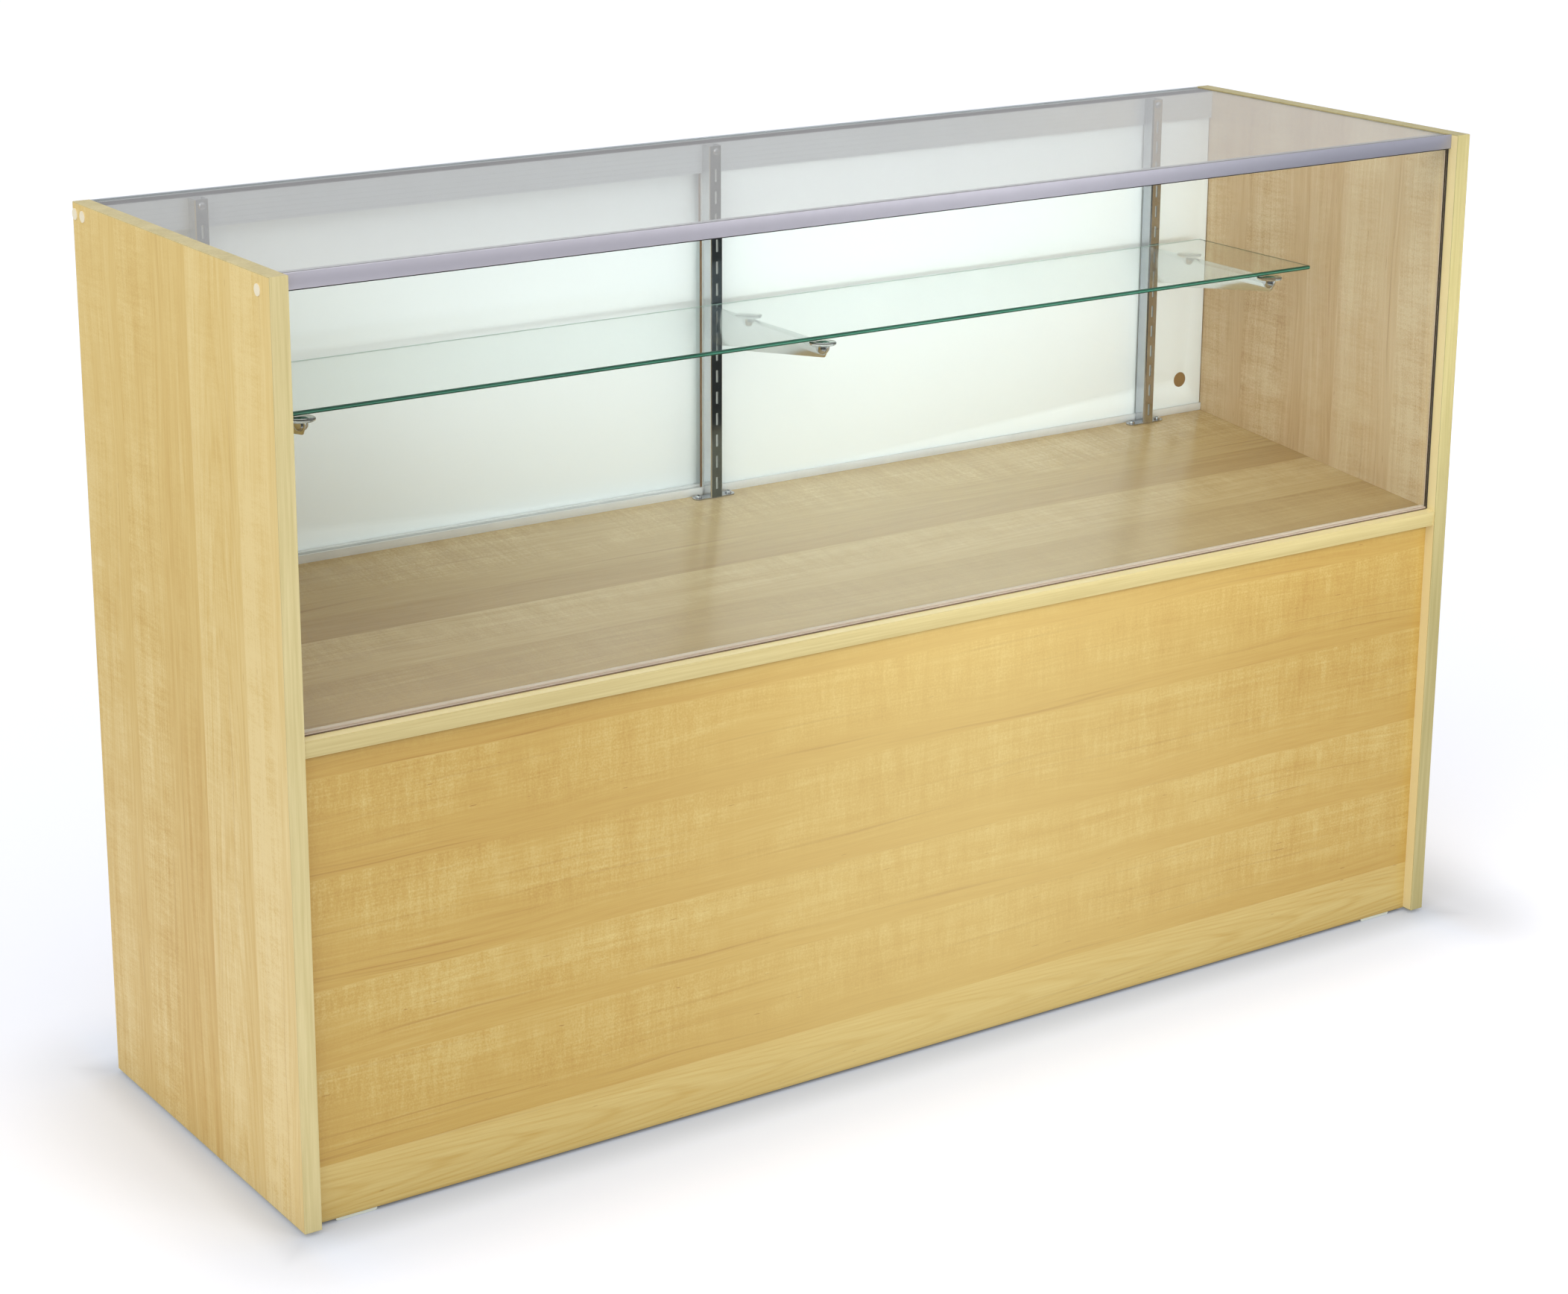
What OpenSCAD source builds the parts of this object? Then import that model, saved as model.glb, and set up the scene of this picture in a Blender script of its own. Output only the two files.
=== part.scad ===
// A half-vision store display case: a glass showcase above an open-backed storage space.
// Millimetres. +X is the customer's right, +Y runs back to the clerk's side, +Z is up.
// The origin is on the floor, below the middle of the case.

/* [Case] */
// Overall width, over the two end panels
case_w = 1524; // [1300:1:1800]
// Overall depth, from the front to the back edges of the end panels
case_d = 457.2; // [430:0.1:520]
// Overall height, from the floor to the tops of the end panels
case_h = 965.2; // [900:0.1:1060]
// Thickness of the end panels
panel_t = 19.05; // [16:0.05:22]
// Thickness of the edging strips
edging_t = 1; // [0.6:0.1:2]
// Setback of flush parts from the front and back planes of the case
flush_inset = 1; // [0.5:0.1:3]

/* [Deck] */
// Height of the display deck's top, at its front edge
deck_front_z = 514.4; // [470:0.1:560]
// Angle at which the deck rises to the back
deck_slope = 5; // [0:0.5:7]
// Thickness of the deck
deck_t = 17.5; // [16:0.1:22]

/* [Base] */
// Distance of the lower front panel behind the case's front
front_panel_setback = 14; // [10:0.5:24]
// Thickness of the lower front panel
front_panel_t = 19.05; // [16:0.05:22]
// Height of the storage floor's underside
bottom_z = 72; // [50:1:110]
// Thickness of the storage floor and of the centre partition
storage_board_t = 16; // [15:0.5:19]
// Distance of the centre partition and the toe rail from the case's back
storage_setback = 14; // [8:1:60]
// Thickness of the toe rail under the back of the storage floor
toe_rail_t = 16; // [15:0.5:19]

/* [Glides] */
// Height of the glides, which lifts the boards off the floor
glide_h = 4; // [3:0.5:12]
// Length of a glide along the case
glide_l = 46; // [30:1:60]
// Width of a glide across the board that it is nailed to
glide_w = 15; // [13:0.5:16]
// Radius of a glide's lower corners
glide_r = 2.5; // [1:0.5:3]
// Distance of a glide's middle from the inner face of its end panel
glide_inset = 46; // [40:1:120]
// Diameter of a glide nail
nail_d = 1.8; // [1.4:0.1:2.4]
// Length of a glide nail under its head
nail_l = 16; // [10:1:20]
// Diameter of a glide nail's head
nail_head_d = 5; // [4:0.1:6]
// Distance between the two nails of a glide
nail_spacing = 24; // [16:1:26]

/* [Glass] */
// Thickness of the top glass
top_glass_t = 4.8; // [4:0.1:8]
// Depth of the top glass's surface below the tops of the end panels
top_glass_drop = 1.2; // [0.4:0.1:4]
// Gap round the top glass
top_glass_gap = 0.8; // [0.3:0.1:2]
// Thickness of the front glass
front_glass_t = 6; // [4:0.1:8]
// Distance of the front glass behind the case's front
front_glass_setback = 14; // [13:0.5:20]
// Width of the black seals beside the front glass
side_seal_w = 2.2; // [1:0.1:4]
// Least thickness of the black seal under the front glass
sill_seal_t = 1.4; // [0.8:0.1:3]
// Thickness of the glazing tape under the top glass
tape_t = 0.8; // [0.5:0.1:1.5]
// Width of the glazing tape at the front
front_tape_w = 10.5; // [6:0.5:16]
// Width of the glazing tape at the back
rear_tape_w = 18; // [6:0.5:22]

/* [Top rails] */
// Thickness of the rails' aluminium walls
rail_wall = 1.6; // [1.2:0.1:2]
// Distance of the front rail's face behind the case's front
front_rail_setback = 10.5; // [4:0.5:11]
// Height of the front rail's face
front_rail_h = 16.2; // [15:0.1:22]
// Depth of the ledge that carries the front of the top glass
front_ledge_d = 24; // [22:0.5:40]
// Drop of the rails' lips below the tops of the end panels
rail_drop = 0.2; // [0:0.1:2]
// Height of the front rail's screw port below the tops of the end panels
front_port_drop = 15.9; // [15.5:0.1:17]
// Outer radius of the front rail's screw port
front_port_r = 4.2; // [3.6:0.1:4.4]
// Height of the rear rail, from its lower edge to the top of its lip
rear_rail_h = 39.4; // [36:0.1:60]
// Depth of the rear rail, front to back
rear_rail_d = 29.8; // [29:0.1:31]
// Outer radius of the rear rail's screw ports
rear_port_r = 4.6; // [4:0.1:4.8]
// Number of flutes along the rear rail's inner face
flute_count = 6; // [3:1:8]
// Distance between two flutes
flute_pitch = 5.4; // [4:0.1:5.4]
// Width and depth of a flute
flute_size = 0.6; // [0.3:0.1:0.8]

/* [Doors] */
// Thickness of the sliding doors
door_t = 4.8; // [4:0.1:6]
// Overlap of the two doors in the middle of the case
door_overlap = 40; // [24:1:80]
// Gap between a closed door and its end panel
door_end_gap = 1; // [0.5:0.1:3]
// Clearance on each side of a door in its channel
channel_gap = 1.3; // [1.2:0.1:1.4]
// Thickness of the web between the two door channels
channel_web = 5.25; // [4:0.05:5.3]
// Height of the lower door track, square to the deck
track_h = 9.6; // [8:0.1:12]
// Gap between the lower door track and the shelf standards
track_gap = 0.2; // [0.1:0.1:0.5]
// Thickness of the lower track's floor
track_floor = 1.6; // [1.2:0.1:2.4]
// Clearance under a door in its channel
door_foot_gap = 0.4; // [0.3:0.1:1]
// Engagement of a door in the rear rail
door_head_grip = 11; // [6:0.5:12]
// Diameter of the finger hole in a door
pull_bore_d = 19.05; // [16:0.05:25]
// Distance of the finger hole from the closed door's outer edge
pull_edge_dist = 34.8; // [24:0.1:80]
// Height of the finger hole above the floor
pull_z = 595.6; // [585:0.1:760]
// Thickness of the flange of the finger cup
pull_flange_t = 0.8; // [0.6:0.1:1.2]
// Width of the flange of the finger cup, outside the bore
pull_flange_w = 2.4; // [1.5:0.1:3]
// Wall of the finger cup
pull_wall = 1.6; // [1:0.1:2]

/* [Shelf standards] */
// Width of a standard
standard_w = 16; // [14:0.5:19]
// Depth of a standard
standard_d = 16; // [13:0.5:18]
// Wall of a standard
standard_wall = 1.5; // [1:0.1:2]
// Radius of a standard's front arrises
standard_r = 2.2; // [1.6:0.1:3]
// Sideways place of the centre standard
centre_standard_x = -11.5; // [-40:0.5:40]
// Distance of the side standards from the inner faces of the end panels
side_standard_inset = 102; // [60:1:180]
// Distance between two slots
slot_pitch = 25.4; // [24:0.1:32]
// Length of a slot
slot_l = 14.3; // [13.8:0.1:16]
// Width of a slot
slot_w = 2.7; // [2.4:0.1:3]
// Number of slots in a standard
slot_count = 15; // [12:1:15]
// Height of the lowest slot's middle above the standard's foot
first_slot = 16.2; // [12:0.1:18]
// Drop of the standards' tops below the tops of the end panels
standard_drop = 7.2; // [7:0.1:12]
// Distance of a standard's screw below its top
top_screw_drop = 6.7; // [5:0.1:8]
// Thickness of the clip at a standard's foot
clip_t = 1.6; // [1.2:0.1:2]
// Length of the clip at a standard's foot
clip_l = 56; // [48:1:70]
// Width of the clip at a standard's foot
clip_w = 13; // [11:0.5:14]
// Distance between the two screws of a clip
clip_hole_spacing = 41; // [36:1:48]

/* [Shelf] */
// Slot, counted up from the lowest, that a bracket's lower hook sits in
bracket_slot = 7; // [5:1:9]
// Thickness of a bracket's blade
blade_t = 2; // [1.6:0.1:2.2]
// Height of a bracket's blade at its standard
blade_root_h = 42.4; // [38:0.1:60]
// Height of a bracket's blade at its nose
blade_nose_h = 13.7; // [12:0.1:16]
// Reach of a bracket's blade in front of its standard
blade_l = 222.4; // [221:0.1:260]
// Height of the blade's top above the middle of its upper slot
blade_top_rise = 1.1; // [-1:0.1:2]
// Distance of the front shelf rest behind the bracket's nose
front_rest_setback = 11; // [9:0.1:30]
// Distance of the rear shelf rest from the standard
rear_rest_dist = 65.4; // [40:0.1:90]
// Diameter of a shelf rest's knob
rest_d = 15.4; // [12:0.1:18]
// Thickness of a shelf rest's crown, over the blade's edge
rest_crown_t = 0.8; // [0.6:0.1:2]
// Depth of a shelf rest's knob below the blade's edge
rest_drop = 10.4; // [9:0.1:11]
// Diameter of the clear pad on a shelf rest
pad_d = 30; // [24:0.5:34]
// Thickness of the clear pad on a shelf rest
pad_t = 2.7; // [1:0.1:4]
// Thickness of the glass shelf
shelf_t = 4.8; // [4:0.1:8]
// Depth of the glass shelf, front to back
shelf_d = 203.2; // [180:0.1:215]
// Gap between the glass shelf and each end panel
shelf_end_gap = 28.7; // [10:0.1:60]
// Corner radius of the glass shelf
shelf_r = 7; // [2:0.5:20]

/* [Fasteners] */
// Diameter of the rail and clip screws' shanks
screw_d = 3.5; // [3:0.1:4]
// Diameter of a pan head
pan_head_d = 8; // [7:0.1:9]
// Height of a pan head
pan_head_h = 2.8; // [2:0.1:3.2]
// Length of the rail screws under their heads
rail_screw_l = 38; // [30:1:50]
// Diameter of the counterbore over a rail screw
counterbore_d = 9; // [8.6:0.1:10]
// Depth of the counterbore over a rail screw
counterbore_depth = 5; // [4.6:0.1:7]
// Diameter of a screw cover cap
cap_d = 12; // [10:0.5:12.2]
// Height of a screw cover cap above the panel
cap_h = 0.8; // [0.5:0.1:1.5]
// Length of the clip and track screws under their heads
deck_screw_l = 14; // [10:1:16]
// Number of screws in the lower track
track_screw_count = 5; // [3:1:9]
// Diameter of a cam disc
cam_d = 14.8; // [12:0.1:16]
// Depth of a cam disc in its board
cam_depth = 13.8; // [12:0.1:14]
// Distance of a cam disc's middle from the end panel
cam_dist = 34; // [24:0.5:40]
// Diameter of a cam bolt's thread
cam_bolt_d = 5; // [4:0.1:6]
// Diameter of a cam bolt's shaft
cam_shaft_d = 6.8; // [6:0.1:7]
// Depth of the fittings' holes in an end panel
panel_hole_depth = 12; // [10:0.5:14]
// Diameter of a dowel
dowel_d = 8; // [6:0.5:10]
// Length of a dowel
dowel_l = 30; // [26:1:38]
// Clearance round pins, shanks and dowels
pin_gap = 0.1; // [0.05:0.01:0.2]
// Distance of the outer cams from the ends of the deck and the front panel
deck_cam_inset = 75; // [60:1:120]
// Distance of the cams from the edges of the storage floor
floor_cam_inset = 50; // [40:1:80]
// Distance between a cam and the dowel beside it
cam_to_dowel = 32; // [24:1:32]
// Distance of the partition's dowels from its edges
partition_dowel_inset = 60; // [30:1:90]

/* [Hidden] */
$fn = 48;
front_y = -case_d / 2;
rear_y = case_d / 2;
inner_x = case_w / 2 - panel_t;
outer_x = case_w / 2;
board_z = glide_h;
over = 0.5;

// Colours, as the case shows them
maple = [0.86, 0.75, 0.50];
maple_edge = [0.83, 0.78, 0.58];
satin = [0.72, 0.72, 0.75];
chrome = [0.80, 0.82, 0.84];
clear_glass = [0.75, 0.88, 0.83, 0.4];
black = [0.08, 0.08, 0.08];
tape_grey = [0.30, 0.32, 0.34];
door_white = [0.94, 0.95, 0.93];
hardboard = [0.52, 0.39, 0.24];
pale_plastic = [0.82, 0.85, 0.75];
zinc = [0.62, 0.64, 0.66];
beech = [0.80, 0.66, 0.47];

// The deck's own frame: s runs back along its top from its front edge, n is square to it
deck_front_y = front_y + flush_inset;
function deck_y(s, n = 0) = deck_front_y + s * cos(deck_slope) - n * sin(deck_slope);
function deck_z(s, n = 0) = deck_front_z + s * sin(deck_slope) + n * cos(deck_slope);
function deck_s(y, n = 0) = (y - deck_front_y + n * sin(deck_slope)) / cos(deck_slope);
function deck_top(y) = deck_front_z + (y - deck_front_y) * tan(deck_slope);
function deck_under(y) = deck_top(y) - deck_t / cos(deck_slope);
deck_l = (rear_y - flush_inset - deck_front_y - deck_t * sin(deck_slope)) / cos(deck_slope);

// Heights of the glazing
glass_top_z = case_h - top_glass_drop;
glass_under_z = glass_top_z - top_glass_t;
ledge_z = glass_under_z - tape_t;
lip_z = case_h - rail_drop;

// Front glass and its rail
front_glass_y = front_y + front_glass_setback;
front_glass_back = front_glass_y + front_glass_t;
front_glass_z = deck_top(front_glass_back) + sill_seal_t;
front_rail_y = front_y + front_rail_setback;
front_rail_z = lip_z - front_rail_h;
gasket_front = front_rail_y + rail_wall;
gasket_t = front_glass_y - gasket_front;
gasket_drop = 1.2;
front_web_y = front_glass_back + gasket_t;
front_port_z = case_h - front_port_drop;
front_port_y = front_web_y + front_port_r;
front_glass_head_z = ledge_z - rail_wall - 1.9;

// Rear rail and its two door channels
rear_rail_back = rear_y - flush_inset;
rear_rail_y = rear_rail_back - rear_rail_d;
rear_rail_z = lip_z - rear_rail_h;
channel_w = door_t + 2 * channel_gap;
channel_pitch = channel_w + channel_web;
front_door_y = rear_rail_y + rail_wall + channel_w / 2;
rear_door_y = front_door_y + channel_pitch;
port_weld = 0.6;
rear_port_z = ledge_z - rail_wall - rear_port_r + port_weld;
channel_roof_z = rear_port_z - rear_port_r + port_weld - rail_wall;
front_channel_port_y = rear_rail_y + rail_wall + rear_port_r - port_weld;
back_port_y = rear_rail_back - cap_d / 2 + 0.8;
port_bore_d = screw_d + 2 * pin_gap;
track_end_gap = 0.5;

// Lower track, in the deck's frame
track_s0 = deck_s(rear_rail_y + track_gap, track_h);
track_front_s = track_s0 + rail_wall + channel_w / 2;
track_rear_s = track_front_s + channel_pitch;
track_s1 = track_rear_s + channel_w / 2 + rail_wall;
function track_floor_z(y) = deck_top(y) + track_floor / cos(deck_slope);

// Doors
door_w = inner_x + door_overlap / 2 - door_end_gap;
door_top_z = rear_rail_z + door_head_grip;
pull_x = inner_x - door_end_gap - pull_edge_dist;
pull_d = pull_bore_d - 2 * pin_gap;

// Standards and shelf
standard_back = rear_rail_y;
standard_face = standard_back - standard_d;
standard_top = case_h - standard_drop;
standard_xs = [-inner_x + side_standard_inset, centre_standard_x, inner_x - side_standard_inset];
foot_z = deck_top(standard_face + standard_d / 2) + clip_t;
slot_z0 = foot_z + first_slot;
clip_s = deck_s(standard_face + standard_d / 2);
top_screw_z = standard_top - top_screw_drop;
lower_slot_z = slot_z0 + bracket_slot * slot_pitch;
upper_slot_z = lower_slot_z + slot_pitch;
blade_top = upper_slot_z + blade_top_rise;
hook_gap = 0.3;
hook_tail = 3;
hook_t = 2.4;
rest_ys = [standard_face - blade_l + front_rest_setback, standard_face - rear_rest_dist];
crown_z = blade_top + rest_crown_t;
shelf_z = crown_z + pad_t;
shelf_back = standard_face - 1;
shelf_x = inner_x - shelf_end_gap;

// Base
front_panel_y = front_y + front_panel_setback;
front_panel_back = front_panel_y + front_panel_t;
storage_back = rear_y - storage_setback;
bottom_top = bottom_z + storage_board_t;
glide_x = inner_x - glide_inset;
toe_rail_y = storage_back - toe_rail_t;

// Rail screws: place of each in an end panel, as [y, z]
rail_screw_sites = [[front_port_y, front_port_z], [front_channel_port_y, rear_port_z],
    [back_port_y, rear_port_z]];

// Knock-down fittings: [board, y, z, turn of the board's cam face about X, thickness of the board]
cam_sites = [
    for (s = [deck_cam_inset, deck_l - deck_cam_inset])
        ["deck", deck_y(s, -deck_t / 2), deck_z(s, -deck_t / 2), 180 + deck_slope, deck_t],
    for (y = [front_panel_back + floor_cam_inset, storage_back - floor_cam_inset])
        ["bottom", y, bottom_z + storage_board_t / 2, 180, storage_board_t],
    for (z = [bottom_top + deck_cam_inset, deck_front_z - deck_cam_inset])
        ["front", front_panel_y + front_panel_t / 2, z, -90, front_panel_t]
];
dowel_sites = [
    for (s = [deck_cam_inset + cam_to_dowel, deck_l - deck_cam_inset - cam_to_dowel])
        ["deck", deck_y(s, -deck_t / 2), deck_z(s, -deck_t / 2), 180 + deck_slope, deck_t],
    for (y = [front_panel_back + floor_cam_inset + cam_to_dowel, storage_back - floor_cam_inset - cam_to_dowel])
        ["bottom", y, bottom_z + storage_board_t / 2, 180, storage_board_t],
    for (z = [bottom_top + deck_cam_inset + cam_to_dowel, deck_front_z - deck_cam_inset - cam_to_dowel])
        ["front", front_panel_y + front_panel_t / 2, z, -90, front_panel_t],
    for (z = [board_z + toe_rail_t, bottom_z - toe_rail_t]) ["toe", toe_rail_y + toe_rail_t / 2, z, -90, toe_rail_t]
];
partition_dowel_ys = [front_panel_back + partition_dowel_inset, storage_back - partition_dowel_inset];
panel_dowel_depth = panel_hole_depth;
board_dowel_depth = dowel_l - panel_hole_depth + 2;

// Extrudes a profile drawn in the (y, z) plane from x0 to x1
module across(x0, x1) translate([x0, 0, 0]) rotate([90, 0, 90]) linear_extrude(x1 - x0) children();

// Puts its children in the deck's frame
module on_deck() translate([0, deck_front_y, deck_front_z]) rotate([deck_slope, 0, 0]) children();

// Mirrors its children to the left side where side is negative
module sided(side) mirror([side < 0 ? 1 : 0, 0, 0]) children();

// A rectangle from one corner to the other
module rect(a, b) translate(a) square(b - a);

// A cylinder along +X, from x = 0
module rod_x(d, l) rotate([0, 90, 0]) cylinder(d = d, h = l);

// A cylinder along +Y, from y = 0
module rod_y(d, l) rotate([-90, 0, 0]) cylinder(d = d, h = l);

// Puts its children at each fitting: origin on the end panel's inner face, +X into the panel,
// +Z towards the face of the board that holds the cam
module at_sites(sites, board = "", sides = [-1, 1]) {
    for (side = sides, site = sites) {
        if (board == "" || site[0] == board) {
            $board_t = site[4];
            sided(side) translate([inner_x, site[1], site[2]]) rotate([site[3], 0, 0]) children();
        }
    }
}

// Holes that the knock-down fittings need in one board
module board_fitting_holes(board) {
    at_sites(cam_sites, board) {
        translate([-cam_dist, 0, $board_t / 2 - cam_depth]) cylinder(d = cam_d + 2 * pin_gap, h = cam_depth + over);
        translate([-cam_dist, 0, 0]) rod_x(cam_shaft_d + 1, cam_dist + over);
    }
    at_sites(dowel_sites, board)
        translate([-board_dowel_depth, 0, 0]) rod_x(dowel_d + 2 * pin_gap, board_dowel_depth + over);
}

// Holes that the knock-down fittings need in the right end panel
module panel_fitting_holes() {
    at_sites(cam_sites, sides = [1]) translate([-over, 0, 0])
        rod_x(cam_bolt_d + 2 * pin_gap, panel_hole_depth + over);
    at_sites(dowel_sites, sides = [1]) translate([-over, 0, 0])
        rod_x(dowel_d + 2 * pin_gap, panel_dowel_depth + over);
}

// The outline of an end panel, drawn in by a margin on all four edges
module panel_outline(margin) {
    rect([front_y + margin, board_z + margin], [rear_y - margin, case_h - margin]);
}

module end_panel(side) {
    color(maple) sided(side) difference() {
        across(inner_x, outer_x) panel_outline(edging_t);
        panel_fitting_holes();
        for (site = rail_screw_sites) translate([inner_x - over, site[0], site[1]]) {
            rod_x(screw_d + 2 * pin_gap, panel_t + 2 * over);
            translate([over + panel_t - counterbore_depth, 0, 0]) rod_x(counterbore_d, counterbore_depth + over);
        }
    }
}

module panel_edging(side) {
    color(maple_edge) sided(side) difference() {
        across(inner_x, outer_x) difference() {
            panel_outline(0);
            panel_outline(edging_t);
        }
        translate([outer_x - counterbore_depth, back_port_y, rear_port_z])
            rod_x(counterbore_d, counterbore_depth + over);
    }
}

// The row of screws along the lower track, in the deck's frame
module at_track_screws() {
    for (i = [0 : track_screw_count - 1])
        translate([-inner_x + (i + 0.5) * 2 * inner_x / track_screw_count, track_rear_s, 0]) children();
}

// The two screws of each standard's clip, in the deck's frame
module at_clip_screws() {
    for (x = standard_xs, e = [-1, 1]) translate([x + e * clip_hole_spacing / 2, clip_s, 0]) children();
}

module deck_panel() {
    pilot = deck_screw_l + 1;
    color(maple) difference() {
        on_deck() difference() {
            across(-inner_x, inner_x) rect([edging_t, -deck_t], [deck_l, 0]);
            at_track_screws() translate([0, 0, -pilot]) cylinder(d = screw_d + 2 * pin_gap, h = pilot + over);
            at_clip_screws() translate([0, 0, -pilot]) cylinder(d = screw_d + 2 * pin_gap, h = pilot + over);
        }
        board_fitting_holes("deck");
    }
}

module deck_edging() {
    color(maple_edge) on_deck() across(-inner_x, inner_x) rect([0, -deck_t], [edging_t, 0]);
}

// The two nails of each glide, at the floor
module at_nails(spots) {
    for (spot = spots, e = [-1, 1]) translate([spot[0] + e * nail_spacing / 2, spot[1], 0]) children();
}
front_glides = [for (e = [-1, 1]) [e * glide_x, front_panel_y + front_panel_t / 2]];
rear_glides = [for (e = [-1, 1]) [e * glide_x, toe_rail_y + toe_rail_t / 2]];
nail_head_z = glide_h / 2;

module nail_holes(spots) {
    at_nails(spots) cylinder(d = nail_d + 2 * pin_gap, h = nail_head_z + nail_l + 1);
}

module front_panel() {
    color(maple) difference() {
        across(-inner_x, inner_x) polygon([[front_panel_y, board_z], [front_panel_back, board_z],
            [front_panel_back, deck_under(front_panel_back)], [front_panel_y, deck_under(front_panel_y)]]);
        board_fitting_holes("front");
        nail_holes(front_glides);
    }
}

module bottom_panel() {
    color(maple) difference() {
        across(-inner_x, inner_x) rect([front_panel_back, bottom_z], [storage_back, bottom_top]);
        board_fitting_holes("bottom");
        for (y = partition_dowel_ys) translate([0, y, bottom_top - board_dowel_seat])
            cylinder(d = dowel_d + 2 * pin_gap, h = board_dowel_seat + over);
    }
}
board_dowel_seat = storage_board_t - 4;

module centre_partition() {
    half = storage_board_t / 2;
    rise = dowel_l - board_dowel_seat + 2;
    color(maple) difference() {
        across(-half, half) polygon([[front_panel_back, bottom_top], [storage_back, bottom_top],
            [storage_back, deck_under(storage_back)], [front_panel_back, deck_under(front_panel_back)]]);
        for (y = partition_dowel_ys) translate([0, y, bottom_top - over])
            cylinder(d = dowel_d + 2 * pin_gap, h = rise + over);
    }
}

module rear_toe_rail() {
    color(maple) difference() {
        across(-inner_x, inner_x) rect([toe_rail_y, board_z], [storage_back, bottom_z]);
        board_fitting_holes("toe");
        nail_holes(rear_glides);
    }
}

// Aluminium rails
module front_top_rail() {
    color(satin) across(-inner_x, inner_x) difference() {
        union() {
            rect([front_rail_y, front_rail_z], [front_rail_y + rail_wall, lip_z]);
            rect([front_rail_y, ledge_z - rail_wall], [front_rail_y + front_ledge_d, ledge_z]);
            rect([front_web_y, front_port_z], [front_web_y + rail_wall, ledge_z]);
            translate([front_port_y, front_port_z]) circle(r = front_port_r);
        }
        translate([front_port_y, front_port_z]) circle(d = port_bore_d);
    }
}

// The rear rail's profile: a fluted inner face, two door channels, a ledge and a lip
module rear_rail_profile() {
    walls = [front_door_y, rear_door_y];
    front = rear_rail_y;
    difference() {
        union() {
            rect([front, rear_rail_z], [front + rail_wall, ledge_z]);
            rect([front, ledge_z - rail_wall], [rear_rail_back, ledge_z]);
            rect([rear_rail_back - rail_wall, ledge_z - rail_wall], [rear_rail_back, lip_z]);
            rect([front, channel_roof_z], [rear_door_y + channel_w / 2 + rail_wall, channel_roof_z + rail_wall]);
            rect([front_door_y + channel_w / 2, rear_rail_z], [rear_door_y - channel_w / 2, channel_roof_z + over]);
            rect([rear_door_y + channel_w / 2, rear_rail_z], [rear_door_y + channel_w / 2 + rail_wall, ledge_z]);
            for (y = [front_channel_port_y, back_port_y]) translate([y, rear_port_z]) circle(r = rear_port_r);
        }
        for (y = [front_channel_port_y, back_port_y]) translate([y, rear_port_z]) circle(d = port_bore_d);
        for (i = [0 : flute_count - 1]) {
            z = rear_rail_z + flute_pitch * (i + 0.5);
            rect([front - over, z], [front + flute_size, z + flute_size]);
        }
    }
}

module rear_top_rail() {
    color(satin) difference() {
        across(-inner_x, inner_x) rear_rail_profile();
        for (x = standard_xs) translate([x, rear_rail_y - over, top_screw_z])
            rod_y(screw_d + 2 * pin_gap, over + rail_wall + 3.2);
    }
}

module lower_door_track() {
    len = inner_x - track_end_gap;
    mid0 = track_front_s + channel_w / 2;
    mid1 = track_rear_s - channel_w / 2;
    color(satin) on_deck() difference() {
        across(-len, len) {
            rect([track_s0, 0], [track_s1, track_floor]);
            rect([track_s0, 0], [track_s0 + rail_wall, track_h]);
            rect([mid0, 0], [mid1, track_h]);
            rect([track_s1 - rail_wall, 0], [track_s1, track_h]);
        }
        at_track_screws() {
            translate([0, 0, -over]) cylinder(d = screw_d + 2 * pin_gap, h = track_floor + 2 * over);
            translate([0, 0, track_floor - flat_head_h]) cylinder(d1 = screw_d + 2 * pin_gap,
                d2 = flat_head_d + 2 * pin_gap, h = flat_head_h);
        }
    }
}
flat_head_d = 6.4;
flat_head_h = 1.4;

// Glass
module top_glass() {
    half = inner_x - top_glass_gap;
    y0 = front_rail_y + rail_wall + top_glass_gap;
    y1 = rear_rail_back - rail_wall - top_glass_gap;
    color(clear_glass) across(-half, half) rect([y0, glass_under_z], [y1, glass_top_z]);
}

module front_glass() {
    half = inner_x - side_seal_w;
    color(clear_glass) across(-half, half) rect([front_glass_y, front_glass_z], [front_glass_back, front_glass_head_z]);
}

// A rectangle with four round corners, flat on the XY plane
module round_rect(a, b, r) {
    rect([a[0] + r, a[1]], [b[0] - r, b[1]]);
    rect([a[0], a[1] + r], [b[0], b[1] - r]);
    for (x = [a[0] + r, b[0] - r], y = [a[1] + r, b[1] - r]) translate([x, y]) circle(r = r);
}

module glass_shelf() {
    color(clear_glass) translate([0, 0, shelf_z]) linear_extrude(shelf_t)
        round_rect([-shelf_x, shelf_back - shelf_d], [shelf_x, shelf_back], shelf_r);
}

// Tapes and seals
module glazing_tape(y, w) {
    half = inner_x - top_glass_gap;
    color(tape_grey) across(-half, half) rect([y, ledge_z], [y + w, glass_under_z]);
}

module front_rail_gasket() {
    half = inner_x - side_seal_w;
    top = ledge_z - rail_wall - 1;
    color(black) across(-half, half) {
        rect([gasket_front, front_rail_z - gasket_drop], [front_glass_y, top]);
        rect([front_glass_back, front_port_z], [front_web_y, top]);
    }
}

module glass_sill_seal() {
    half = inner_x - side_seal_w;
    color(black) across(-half, half) polygon([[front_glass_y, deck_top(front_glass_y)],
        [front_glass_back, deck_top(front_glass_back)], [front_glass_back, front_glass_z],
        [front_glass_y, front_glass_z]]);
}

module glass_seal(side) {
    color(black) sided(side) across(inner_x - side_seal_w, inner_x) polygon([
        [front_glass_y, deck_top(front_glass_y)], [front_glass_back, deck_top(front_glass_back)],
        [front_glass_back, front_glass_head_z], [front_glass_y, front_glass_head_z]]);
}

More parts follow.
